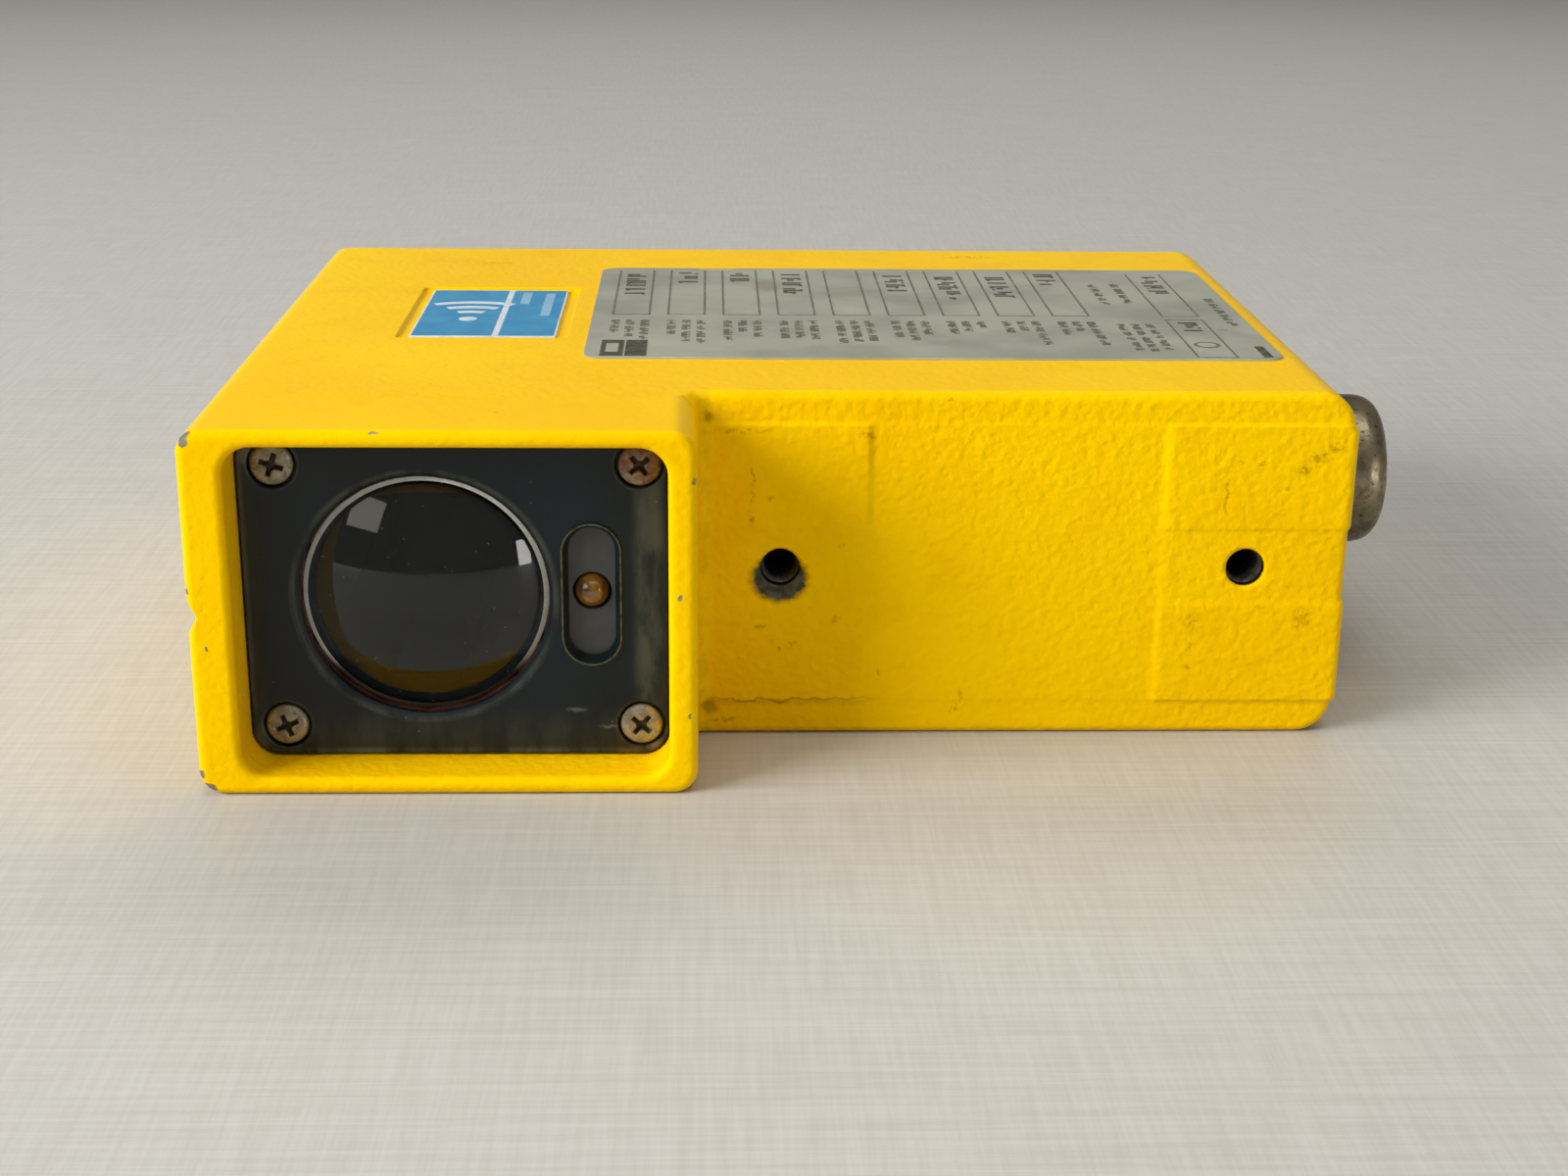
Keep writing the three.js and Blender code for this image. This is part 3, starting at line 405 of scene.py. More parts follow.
class Finish:
    """A procedural material: a principled shader and the few kinds of node that feed it."""

    def __init__(self, name, **values):
        self.material = bpy.data.materials.new(name)
        self.material.use_nodes = True
        self.tree = self.material.node_tree
        self.shader = self.tree.nodes["Principled BSDF"]
        self.feed(**values)
        scaled = self.vector("MULTIPLY", self.node("TexCoord", {}, "Object"), (1 / MM,) * 3)
        self.place = self.vector("SUBTRACT", scaled, tuple(CORNER))
        self.x, self.y, self.z = (self.node("SeparateXYZ", {0: self.place}, axis) for axis in range(3))

    def node(self, kind, inputs, output=0, **settings):
        return add_node(self.tree, kind, inputs, output, **settings)

    def feed(self, **values):
        for key, value in values.items():
            fill(self.tree, self.shader.inputs[key.replace("_", " ")], value)
        return self.material

    def vector(self, operation, *values, output="Vector"):
        return self.node("VectorMath", dict(enumerate(values)), output, operation=operation)

    def math(self, operation, *values):
        return self.node("Math", dict(enumerate(values)), operation=operation)

    def chain(self, operation, values):
        made = values[0]
        for value in values[1:]:
            made = self.math(operation, made, value)
        return made

    def times(self, *values):
        return self.chain("MULTIPLY", values)

    def most(self, *values):
        return self.chain("MAXIMUM", values)

    def gap(self, a, b):
        return self.math("ABSOLUTE", self.math("SUBTRACT", a, b))

    def rise(self, value, low, high):
        """0 below low, 1 above high; low may be the larger, for a fall."""
        return self.node("MapRange", {0: value, 1: low, 2: high}, interpolation_type="SMOOTHSTEP")

    def band(self, value, low, high, soft):
        return self.times(self.rise(value, low - soft, low + soft),
                          self.rise(value, high + soft, high - soft))

    def noise(self, size, detail=2.0, rough=0.5, stretch=None, output=0):
        """Noise with features about size millimetres across."""
        place = self.vector("MULTIPLY", self.place, stretch) if stretch else self.place
        inputs = {"Scale": 1 / size, "Detail": detail, "Roughness": rough, "Vector": place}
        return self.node("TexNoise", inputs, output)

    def cells(self, size, place, feature="F1", **inputs):
        """Distance from scattered points about size millimetres apart."""
        inputs |= {"Scale": 1 / size, "Vector": place}
        return self.node("TexVoronoi", inputs, "Distance", feature=feature)

    def warped(self, size, amount):
        """The place, pushed about by noise."""
        push = self.vector("SUBTRACT", self.noise(size, 3, output=1), (0.5, 0.5, 0.5))
        return self.vector("ADD", self.place, self.vector("MULTIPLY", push, (amount,) * 3))

    def from_axis(self, x, z):
        """Distance from the line along Y through x and z."""
        off = self.vector("MULTIPLY", self.vector("SUBTRACT", self.place, (x, 0, z)), (1, 0, 1))
        return self.vector("LENGTH", off, output="Value")

    def blob(self, place, centre, radii, soft=0.25):
        """1 inside an ellipsoid and 0 outside it."""
        off = self.vector("SUBTRACT", place, centre)
        off = self.vector("MULTIPLY", off, tuple(1 / r for r in radii))
        return self.rise(self.vector("LENGTH", off, output="Value"), 1 + soft, 1 - soft)

    def blobs(self, place, rows, soft, grown=1.0):
        """1 inside any of the ellipsoids given as centre and radii."""
        return self.most(*(self.blob(place, centre, tuple(grown * r for r in radii), soft)
                           for centre, radii in rows))

    def mix(self, amount, a, b):
        """A colour between a and b, each a node's output or the 0 to 255 numbers of a display."""
        a, b = (tone(*colour) if isinstance(colour, tuple) else colour for colour in (a, b))
        return self.node("Mix", {0: amount, 6: a, 7: b}, 2, data_type="RGBA")

    def level(self, amount, a, b):
        """A number between a and b."""
        return self.node("Mix", {0: amount, 2: a, 3: b})

    def patches(self, size, detail, low, high, one, two, rough=0.5):
        """Soft patches of two display colours."""
        return self.mix(self.rise(self.noise(size, detail, rough), low, high), one, two)

    def bump(self, height, millimetres):
        """Height in 0 to 1, which stands for the millimetres given."""
        return self.node("Bump", {"Strength": 1.0, "Distance": millimetres * MM, "Height": height})


PAD_FACE = 22  # Y of the marks on the front face of the body
# Rubs on the two mounting pads: x, z, half width and half height.
PAD_RUBS = [
    (77.8, 39.5, 0.3, 3.2), (77.5, 34.3, 0.5, 1.3), (80.4, 37.2, 0.7, 0.4), (79.2, 17.4, 0.8, 0.5),
    (80.8, 15.3, 0.45, 0.45), (83.8, 15.0, 0.45, 0.6), (81.7, 13.6, 0.4, 0.35), (90.2, 18.2, 0.8, 0.6),
    (91.4, 29.8, 0.7, 0.6), (76.0, 12.3, 0.4, 0.3), (75.5, 47.2, 4.6, 0.35), (94.6, 46.6, 1.2, 0.5),
    (158.4, 41.7, 1.3, 0.9), (160.8, 43.3, 1.5, 1.0), (163.2, 45.3, 1.4, 1.1), (147.4, 38.0, 0.35, 3.4),
    (148.7, 42.8, 0.7, 0.5), (152.4, 42.5, 0.6, 0.4), (143.6, 18.0, 1.1, 1.5), (143.6, 14.4, 0.4, 0.9),
    (139.6, 18.8, 0.7, 0.5), (153.6, 20.3, 0.6, 0.7), (160.2, 18.4, 1.4, 1.5), (143.2, 10.8, 0.4, 0.4),
    (109.1, 6.2, 0.4, 1.1), (108.5, 4.2, 0.35, 1.1), (97.0, 10.0, 0.5, 0.5), (74.0, 2.4, 3.0, 0.4),
]
# Rubs elsewhere, and then the places where the paint is gone: centre and half sizes.
FAR_RUBS = [
    ((30, 60, 0.4), (9, 4, 0.5)), ((120, 128, 52.8), (4, 1.2, 1)), ((60, 135.6, 20), (1.4, 2, 3)),
    ((140, 135.6, 35), (2.4, 2, 0.8)), ((166, 100, 20), (2, 3.5, 1.0)), ((0, 60, 40), (2, 2.6, 0.6)),
    ((0, 96, 12), (2, 0.8, 2.2)), ((33, 120, 53), (2.8, 0.7, 2)),
]
CHIPS = [
    ((0.4, 0.3, 52.6), (1.7, 1.6, 1.1)), ((1.4, 0.2, 51.5), (0.7, 0.8, 0.7)),
    ((1.2, 0.2, 1.0), (1.3, 1.2, 0.8)), ((0.3, 0.2, 3.1), (0.6, 0.7, 0.6)),
    ((81.9, 22.4, 24.8), (3.8, 1.6, 3.3)), ((84.9, 22.4, 23.9), (0.7, 1.6, 0.5)),
    ((26.8, 0.6, 52.6), (0.7, 0.4, 0.2)),
    ((69.6, 0.6, 46.1), (0.35, 0.6, 0.4)), ((67.6, 0.1, 29.4), (0.3, 0.5, 0.45)),
    ((0.2, 0.4, 30.2), (0.35, 0.7, 0.4)), ((2.4, 0.1, 22.0), (0.25, 0.4, 0.3)),
    ((68.9, 0.3, 12.0), (0.3, 0.5, 0.4)), ((165.6, 30.0, 49.2), (1.0, 1.2, 0.8)),
    ((165.4, 135.6, 50.4), (1.3, 1.2, 1.2)), ((0.4, 135.5, 52.3), (1.3, 1.5, 0.9)),
    ((0.6, 135.4, 0.8), (1.2, 1.6, 0.9)), ((90.0, 135.8, 52.4), (1.4, 0.6, 0.5)),
    ((0.4, 24, 50.5), (0.5, 1.2, 0.8)), ((0.3, 78, 0.6), (0.7, 1.8, 0.6)),
    ((164.6, 24.4, 4.4), (0.8, 0.8, 0.9)), ((165.8, 88.4, 26.0), (0.8, 0.7, 1.6)),
]
BARE_LAND = 8  # radius of the worn ring round the left mounting hole, with its duller metal


def paint_dirt_and_shade(f, near, fine):
    """How dirty the paint is, as the rubs and stains, with a painted shadow line under the left pad, and the
    painted shade in its corners.
    """
    rubs = [((x, PAD_FACE, z), (rx, 3, rz)) for x, z, rx, rz in PAD_RUBS] + FAR_RUBS
    rubbed = f.times(f.blobs(near, rubs, 0.45), f.rise(f.noise(0.9, 4, 0.65), 0.4, 0.68))
    specks = f.times(f.rise(f.cells(7.5, fine), 0.055, 0.03), f.rise(f.noise(24, 1), 0.5, 0.58))
    stain = f.blobs(near, [((71.6, 22.4, 4.6), (1.2, 2.5, 1.2)), ((71.4, 22.4, 49.6), (0.8, 2, 0.8))], 0.5)
    # A dark line along the foot of the left pad: painted shadow under its edge, with dirt in it.
    crease = f.times(f.blob(near, (82.5, PAD_FACE, 5.7), (12.5, 3, 0.25), 0.5), 0.45)
    dirt_and_shadow = f.most(f.times(rubbed, 0.52), f.times(specks, 0.35), f.times(stain, 0.5), crease)
    # Painted shade beside the head, along the foot of the casting and inside the front recess.
    corner = f.times(f.band(f.y, 19.5, 23.5, 2.0), f.band(f.x, 69.8, 71.6, 0.6))
    foot = f.times(f.rise(f.z, 1.6, 0.3), f.noise(6, 3))
    recess = f.times(f.rise(f.y, 6.6, 8.2), f.rise(f.y, 12.4, 12.0), f.band(f.x, 5.0, 67.0, 0.5),
                     f.band(f.z, 1.6, 51.4, 0.5))
    painted_shade = f.most(f.times(corner, 0.35), f.times(foot, 0.5), f.times(recess, 0.6))
    return dirt_and_shadow, f.times(painted_shade, f.rise(f.noise(2.6, 4, 0.6), 0.35, 0.68))


def paint_height(f, dirt_and_shadow, bare):
    """Leathery texture: rounded bumps a little over a millimetre across, with finer ones on them."""
    bumps = f.cells(1.1, f.warped(2.2, 1.2), "SMOOTH_F1", Smoothness=0.9)
    small = f.math("ADD", f.times(f.noise(1.35, 2, 0.45), 0.9), f.times(f.noise(0.42, 2), 0.1))
    height = f.math("ADD", f.times(bumps, 0.55), small)
    deep = f.most(f.rise(f.y, 14, 20), 0.55)
    painted = f.math("SUBTRACT", 1, bare)
    height = f.times(height, deep, f.level(f.rise(f.z, 51.8, 52.8), 1.0, 0.5), painted)
    return f.math("SUBTRACT", height, f.times(dirt_and_shadow, 0.15))


def yellow_paint():
    """Thick textured powder coat, chipped to the casting at its corners and rubbed dirty on the pads, with
    painted shade in its corners and mounting holes.
    """
    f = Finish("painted_yellow", IOR=1.5, Specular_IOR_Level=0.1, Specular_Tint=(1.0, 0.78, 0.12, 1.0))
    paint = f.patches(38, 3, 0.3, 0.7, (252, 198, 0), (255, 207, 0))
    paint = f.mix(f.times(f.rise(f.noise(9, 4), 0.5, 0.8), 0.35), paint, (240, 178, 0))
    near, fine = f.warped(2.2, 2.4), f.warped(0.8, 1.1)
    dirt_and_shadow, painted_shade = paint_dirt_and_shade(f, near, fine)
    # Painted shade in the corner beside the head, along the foot and inside the front recess.
    colour = f.mix(f.times(painted_shade, 0.6), paint, (150, 112, 20))
    colour = f.mix(dirt_and_shadow, colour, (116, 60, 8))
    bare = f.blobs(fine, CHIPS, 0.1)
    colour = f.mix(f.times(f.blobs(fine, CHIPS, 0.15, 1.15), 0.6), colour, (84, 66, 22))
    metal = f.patches(1.6, 3, 0.35, 0.65, (128, 124, 112), (176, 174, 164))
    beside = f.rise(f.from_axis(MOUNTS[0], MID_Z), BARE_LAND, BARE_LAND - 1)
    metal = f.mix(beside, metal, f.patches(1.6, 2, 0.35, 0.65, (66, 68, 56), (98, 100, 86)))
    colour = f.mix(bare, colour, metal)
    # Painted shade in the bores of the mounting holes, dark below their painted mouths.
    painted_bore_shade = f.most(*(f.rise(f.from_axis(x, MID_Z), 3.15, 3.0) for x in MOUNTS))
    mouth, bottom = HEAD_REACH - 0.05, HEAD_REACH + MOUNT_DEPTH + 1
    painted_bore_shade = f.times(painted_bore_shade, f.rise(f.y, mouth, mouth + 0.25), f.rise(f.y, bottom, bottom - 0.5))
    colour = f.mix(painted_bore_shade, colour, (26, 24, 20))
    rough = f.level(f.most(dirt_and_shadow, painted_shade), f.level(f.noise(5, 3), 0.27, 0.38), 0.75)
    return f.feed(Base_Color=colour, Roughness=f.level(f.most(bare, painted_bore_shade), rough, 0.55),
                  Metallic=f.times(bare, 0.5), Normal=f.bump(paint_height(f, dirt_and_shadow, bare), 0.26))


def black_frame():
    """Moulded black plastic with dust in its corners and along its edges, a painted highlight along the outer
    edge of the lens bevel and another along the slot's bead.
    """
    f = Finish("frame_black", Specular_IOR_Level=0.34)
    fine = f.noise(0.7, 4, 0.7)
    side = f.most(f.times(f.band(f.x, 61.2, 65.0, 0.9), 0.75), f.rise(f.x, 7.6, 6.6),
                  f.times(f.rise(f.x, 10.2, 7.0), 0.25))
    foot = f.most(f.rise(f.z, 4.4, 3.2), f.times(f.rise(f.z, 11.0, 6.0), 0.25),
                  f.times(f.rise(f.z, 48.4, 49.8), 0.4))
    heaps = ((64.9, 4.2, 3.6), (7.6, 4.2, 3.2), (7.8, 48.9, 3.2), (64.9, 47.4, 2.4))  # x, z and radius
    corner = f.blobs(f.warped(2.5, 3), [((x, 9, z), (r, 6, r)) for x, z, r in heaps], 0.6)
    # A painted highlight along the outer edge of the lens bevel, mixed in with the dust.
    worn = f.rise(f.gap(f.from_axis(LENS["x"], MID_Z), LENS["radius"] + 0.2), 0.7, 0.1)
    seat = f.most(*(f.rise(f.gap(f.from_axis(x, z), 3.5), 0.5, 0.1) for x, z in FRAME_SCREWS))
    # A painted highlight along the crest of the bead round the indicator's slot, as a pale line.
    reach = (WINDOW["height"] - WINDOW["width"]) / 2
    across, beyond = f.gap(f.x, WINDOW["x"]), f.math("SUBTRACT", f.gap(f.z, WINDOW["z"]), reach)
    beyond = f.most(beyond, 0)
    slot = f.math("SQRT", f.math("ADD", f.times(beyond, beyond), f.times(across, across)))
    rim = f.rise(f.gap(slot, WINDOW["width"] / 2 + 0.95), 0.2, 0.05)
    dusty = f.most(f.times(f.most(side, foot), 0.5), f.times(corner, 0.8), f.times(worn, 0.3),
                   f.times(seat, 0.3))
    dust = f.times(dusty, f.rise(f.noise(3.4, 4, 0.6, stretch=(1, 1, 0.35)), 0.3, 0.66))
    # The dust, with the painted highlight along the bead.
    dust = f.most(dust, f.times(rim, f.rise(fine, 0.3, 0.55), 0.62))
    colour = f.patches(14, 3, 0.35, 0.7, (9, 16, 19), (13, 24, 29))
    tan = f.blob(f.place, (65, 9, 4), (7, 8, 7), 0.4)
    colour = f.mix(dust, colour, f.mix(tan, (96, 100, 84), (126, 108, 78)))
    specks = f.times(f.rise(f.cells(4.2, f.warped(0.6, 0.6)), 0.045, 0.025), 0.6)
    colour = f.mix(specks, colour, (96, 98, 90))
    scuff = f.most(f.blob(f.warped(0.8, 0.8), (57.4, 8, 7.0), (1.4, 2, 0.22), 0.4),
                   f.blob(f.warped(0.8, 0.8), (52.6, 8, 9.6), (1.2, 2, 0.3), 0.6))
    colour = f.mix(f.times(scuff, 0.5), colour, (104, 104, 96))
    rough = f.level(f.most(dust, f.times(fine, 0.4)), 0.36, 0.75)
    return f.feed(Base_Color=colour, Roughness=rough, Normal=f.bump(f.noise(0.25, 3, 0.6), 0.01))


def tarnished(name, clean, dull, spot, size, metallic, low_rough=0.3, high_rough=0.62, bump=0.03):
    """A metal with blotches of tarnish or rust, as its finish and its colour."""
    f = Finish(name)
    blotch = f.rise(f.noise(size, 5, 0.62), 0.36, 0.66)
    spots = f.rise(f.noise(size * 0.28, 4, 0.7), 0.56, 0.68)
    colour = f.mix(spots, f.mix(blotch, clean, dull), spot)
    dullness = f.most(blotch, spots)
    f.feed(Base_Color=colour, Roughness=f.level(dullness, low_rough, high_rough),
           Metallic=f.level(dullness, metallic, metallic * 0.55),
           Normal=f.bump(f.noise(size * 0.2, 4, 0.6), bump))
    return f, colour


def screw_metal():
    """Dull plated steel, with the upper right screw of the frame rusty."""
    f, colour = tarnished("screw_steel", (160, 153, 133), (117, 110, 92), (80, 70, 54), 1.6, 0.55,
                          0.34, 0.65, 0.06)
    x, z = FRAME_SCREWS[-1]
    rust = f.times(f.blob(f.place, (x, 8, z), (4, 12, 4), 0.2), f.rise(f.noise(1.1, 4), 0.3, 0.6))
    return f.feed(Base_Color=f.mix(f.times(rust, 0.8), colour, (112, 66, 42)))


def connector_metal():
    """Tarnished nickel, darker and browner low on the ring: brown tarnish with painted shade on its
    underside.
    """
    f, colour = tarnished("connector_nickel", (168, 158, 130), (126, 114, 86), (80, 66, 42), 3.4, 1.0,
                          0.24, 0.5, 0.02)
    # Darker and browner towards the bottom of the ring: tarnish, with painted shade.
    low = f.times(f.rise(f.z, 28, 16), f.rise(f.noise(4, 3), 0.2, 0.6),
                  f.rise(f.x, LENGTH + 18.3, LENGTH + 16.8))
    return f.feed(Base_Color=f.mix(f.times(low, 0.8), colour, (70, 54, 32)))


def lens_glass():
    f = Finish("lens_glass", Base_Color=(0.66, 0.71, 0.71, 1), Transmission_Weight=1.0, IOR=1.4)
    smear = f.rise(f.noise(5, 4, 0.6), 0.55, 0.9)
    dust = f.rise(f.cells(2.3, f.warped(0.7, 0.8)), 0.055, 0.03)
    return f.feed(Roughness=f.math("ADD", f.times(smear, 0.03), f.times(dust, 0.5)),
                  Normal=f.bump(f.noise(9, 1), 0.002))


def ground_glass():
    """The lens's ground edge, frosted and pale, with painted shade darkening it low down."""
    f = Finish("lens_edge", Specular_IOR_Level=0.6)
    colour = f.patches(1.2, 3, 0.3, 0.7, (252, 252, 242), (236, 236, 222))
    # Painted shade: the edge turns dark low down.
    return f.feed(Base_Color=f.mix(f.rise(f.z, 18.5, 14.5), colour, (64, 58, 50)),
                  Roughness=f.level(f.noise(0.6, 2), 0.25, 0.5), Normal=f.bump(f.noise(0.2, 2), 0.01))


def moulded(name, one, two, size, rough=(0.35, 0.55), bump=0.02, grain=0.5):
    """Plastic or rubber: two close colours in soft patches, and a fine grain."""
    f = Finish(name)
    return f.feed(Base_Color=f.patches(size, 4, 0.35, 0.7, one, two, rough=0.6),
                  Roughness=f.level(f.noise(size * 0.6, 3), *rough),
                  Normal=f.bump(f.noise(grain, 3, 0.6), bump))


def amber():
    f = Finish("led_amber", Transmission_Weight=0.55, IOR=1.5, Coat_Weight=0.6, Coat_Roughness=0.08)
    colour = f.patches(1.4, 3, 0.35, 0.65, (172, 122, 48), (136, 92, 36))
    colour = f.mix(f.blob(f.warped(0.6, 0.5), (53.8, 8, 27.6), (0.9, 3, 1.1), 0.5), colour, (78, 52, 26))
    return f.feed(Base_Color=colour, Roughness=f.level(f.noise(0.5, 2), 0.1, 0.28))


def foil():
    """The type label's foil: faintly rippled and grey, with worn and yellowed patches."""
    f = Finish("label_foil", Metallic=0.35, Specular_IOR_Level=0.5)
    colour = f.patches(16, 4, 0.35, 0.7, (190, 191, 174), (166, 169, 153))
    colour = f.mix(f.times(f.rise(f.noise(5, 4), 0.55, 0.75), 0.5), colour, (188, 186, 168))
    brown = f.blob(f.warped(2, 2), (81.6, 98.5, 53), (2.2, 5.5, 2), 0.5)
    colour = f.mix(f.times(brown, 0.5), colour, (150, 140, 120))
    nick = f.blob(f.warped(0.9, 0.9), (73.0, 113.9, 53.2), (3.4, 1.5, 1), 0.2)
    colour = f.mix(f.times(nick, 0.85), colour, (226, 206, 130))
    grease = f.rise(f.noise(11, 5, 0.65), 0.5, 0.75)
    return f.feed(Base_Color=colour, Roughness=f.level(grease, 0.42, 0.6),
                  Normal=f.bump(f.math("ADD", f.noise(9, 2), f.times(f.noise(0.8, 2), 0.06)), 0.12))


def print_ink(name, dark, worn_to):
    f = Finish(name, Specular_IOR_Level=0.4)
    worn = f.rise(f.noise(1.1, 4, 0.7), 0.42, 0.72)
    return f.feed(Base_Color=f.mix(worn, dark, worn_to), Roughness=f.level(worn, 0.45, 0.6))


FINISHES = {"painted_yellow": yellow_paint(), "frame_black": black_frame(), "lens_glass": lens_glass(),
            "led_amber": amber(), "screw_steel": screw_metal(), "connector_nickel": connector_metal(),
            "label_foil": foil()}
for name, *values in (
        ("seal_rubber", (30, 30, 30), (42, 41, 39), 3, (0.6, 0.85)),
        ("window_grey", (58, 60, 59), (66, 67, 65), 4, (0.3, 0.42), 0.004),
        ("board_green", (22, 84, 48), (30, 98, 56), 6, (0.3, 0.45), 0.02, 1.2),
        ("badge_blue", (56, 136, 184), (72, 150, 190), 6, (0.34, 0.5), 0.006),
        ("coil_tape", (206, 180, 76), (222, 196, 92), 3, (0.4, 0.6), 0.05, 1.5),
        ("component_blue", (36, 84, 150), (44, 96, 164), 5, (0.25, 0.4)),
        ("wire_grey", (104, 106, 108), (122, 123, 124), 3, (0.4, 0.6)),
        ("plastic_white", (214, 210, 198), (196, 190, 174), 1.5, (0.35, 0.55), 0.01)):
    FINISHES[name] = moulded(name, *values)
for name, *values in (
        ("contact_gold", (214, 170, 90), (188, 142, 70), (120, 92, 52), 2, 1.0, 0.2, 0.4),
        ("core_steel", (104, 104, 106), (84, 80, 76), (92, 60, 42), 4, 0.8, 0.45, 0.7),
        ("bare_aluminium", (196, 197, 198), (170, 170, 168), (140, 138, 132), 3, 1.0, 0.3, 0.5),
        ("bore_metal", (110, 106, 98), (66, 62, 56), (34, 31, 28), 1.2, 0.8, 0.4, 0.7)):
    FINISHES[name] = tarnished(name, *values)[0].material
INK = print_ink("label_print", (96, 98, 82), (138, 139, 120))
BOLD_INK = print_ink("label_bold_print", (66, 68, 54), (104, 106, 90))
SCREW_RECESS = moulded("screw_recess", (84, 74, 56), (56, 48, 36), 0.6, (0.6, 0.8))
EDGE_GLASS = ground_glass()
RED_SILICONE = moulded("red_silicone", (74, 38, 28), (56, 30, 24), 2, (0.3, 0.45), 0.02)
WHITE_PRINT = moulded("white_print", (218, 226, 230), (196, 208, 214), 3, (0.35, 0.5), 0.006)
PALE_PRINT = moulded("pale_print", (140, 186, 212), (124, 172, 204), 2, (0.35, 0.5), 0.006)
for cad_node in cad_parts.values():
    for material_slot in cad_node.material_slots:
        material_slot.material = FINISHES[material_slot.material.name.split(".")[0]]
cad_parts["lens_seal"].material_slots[0].material = RED_SILICONE

# ---------- Housing ----------


def pad_height(x, z):
    """How far the mounting pads stand out of the body's front face."""
    low, band_low, band_high, high = PAD_Z
    field = plateau(z, low, high, 0.8)
    lands = plateau(z, low, band_low, 0.9) + plateau(z, band_high, high, 0.9)
    across = sum(plateau(x, x0, x1, edge) for x0, x1, edge in PADS)
    raised = (BAND_RAISE - FIELD_RAISE) * field + (PAD_RAISE - BAND_RAISE) * lands
    return FIELD_RAISE * field + raised * across


def housing(x, y, z):
    low, band_low, band_high, high = PAD_Z
    lands = plateau(z, low, band_low, 0.9) + plateau(z, band_high, high - 1, 0.9)
    wrapped = lands + 0.3 * plateau(z, band_low, band_high, 0.9)  # the pads carried round onto the right end
    wrapped = wrapped * (1 - smooth(y, HEAD_REACH + 24.5, HEAD_REACH + 25.5))
    wrapped = wrapped * smooth(x, LENGTH - 4, LENGTH - 1)
    profile = outer(x, z, 0, HEAD_CORNER, BODY_CORNER) - END_RAISE * wrapped
    head = outer(x, z, 0, HEAD_CORNER, width=HEAD_WIDTH)
    front = HEAD_REACH - y - pad_height(x, z)
    solid = both(either(head, front, 2.6), profile, 1.4 * smooth(head, 0.2, 1.2))
    solid = both(solid, -y, 1.3)
    solid = both(solid, y - DEPTH, 1.6)
    groove = np.maximum(x - 1.4 + 0.56 * np.abs(z - MID_Z), -x - 3)
    solid = minus(solid, groove, 0.25)
    pocket = both(round_rect(x, z, RECESS["x"], RECESS["z"], RECESS["corner"]), y - RECESS["floor"])
    solid = minus(solid, pocket, 1.1)
    optics = round_rect(x, z, (14.6, 58.4), (5.4, HEIGHT - 5.4), 3.0)
    optics = either(optics, circle(x, z, (LENS["x"], MID_Z), LENS["radius"] + 2.8))
    solid = minus(solid, both(optics, y - 20))
    cavity_front = HEAD_REACH + WALL
    head_cavity = both(outer(x, z, WALL, 2.0, width=HEAD_WIDTH), slab(y, 16.1, cavity_front + 1))
    body_cavity = both(outer(x, z, WALL, 2.0), cavity_front - y)
    solid = minus(solid, either(head_cavity, body_cavity))
    rear = outer(x, z, COVER["inset"], 1.5, 3.5)
    solid = minus(solid, both(rear, COVER["back"] - COVER["thickness"] - 1.1 - y), 0.5)
    badge = round_rect(x, y, *((low - BADGE["margin"], high + BADGE["margin"])
                               for low, high in (BADGE["x"], BADGE["y"])), 0.6)
    solid = minus(solid, both(badge, HEIGHT - BADGE["pocket"] - z), 0.2)
    for centre in MOUNTS:
        boss = circle(x, z, (centre, MID_Z), MOUNT_BOSS)
        solid = either(solid, both(boss, slab(y, HEAD_REACH + 1, HEAD_REACH + MOUNT_DEPTH + 2)))
        flare = np.clip(0.15 - (y - HEAD_REACH), 0, 0.6)
        bore = circle(x, z, (centre, MID_Z), MOUNT_BORE + flare)
        solid = minus(solid, both(bore, y - HEAD_REACH - MOUNT_DEPTH), 0.15)
    socket = circle(y, z, (PLUG["y"], MID_Z), PLUG["shank"] + GAP)
    return minus(solid, both(socket, LENGTH - 10 - x), 0.3)


carved("housing_shell", housing, (-0.9, -0.9, -0.9), (LENGTH + 1.2, DEPTH + 0.9, HEIGHT + 0.9), (0.9, 0.5),
       "housing", "painted_yellow")

# ---------- Threads in the two mounting holes ----------

# The M6 thread's ridges on a sleeve, let into the casting below the painted mouth: radius and depth.
ridge = [(2.9 - 0.45 * (k % 2), 1.0 + 0.5 * k) for k in range(25)]
thread = [(3.36, 0.8), (3.36, 13.7), (0.0, 13.7), (0.0, 13.2)] + ridge[::-1]
for number, hole in enumerate(MOUNTS):
    turned(f"mount_thread_{number + 1}", [(r, HEAD_REACH + depth) for r, depth in thread], "y",
           (hole, 0, MID_Z), None, "painted_yellow", [FINISHES["bore_metal"]], steps=64)

# ---------- Front frame ----------


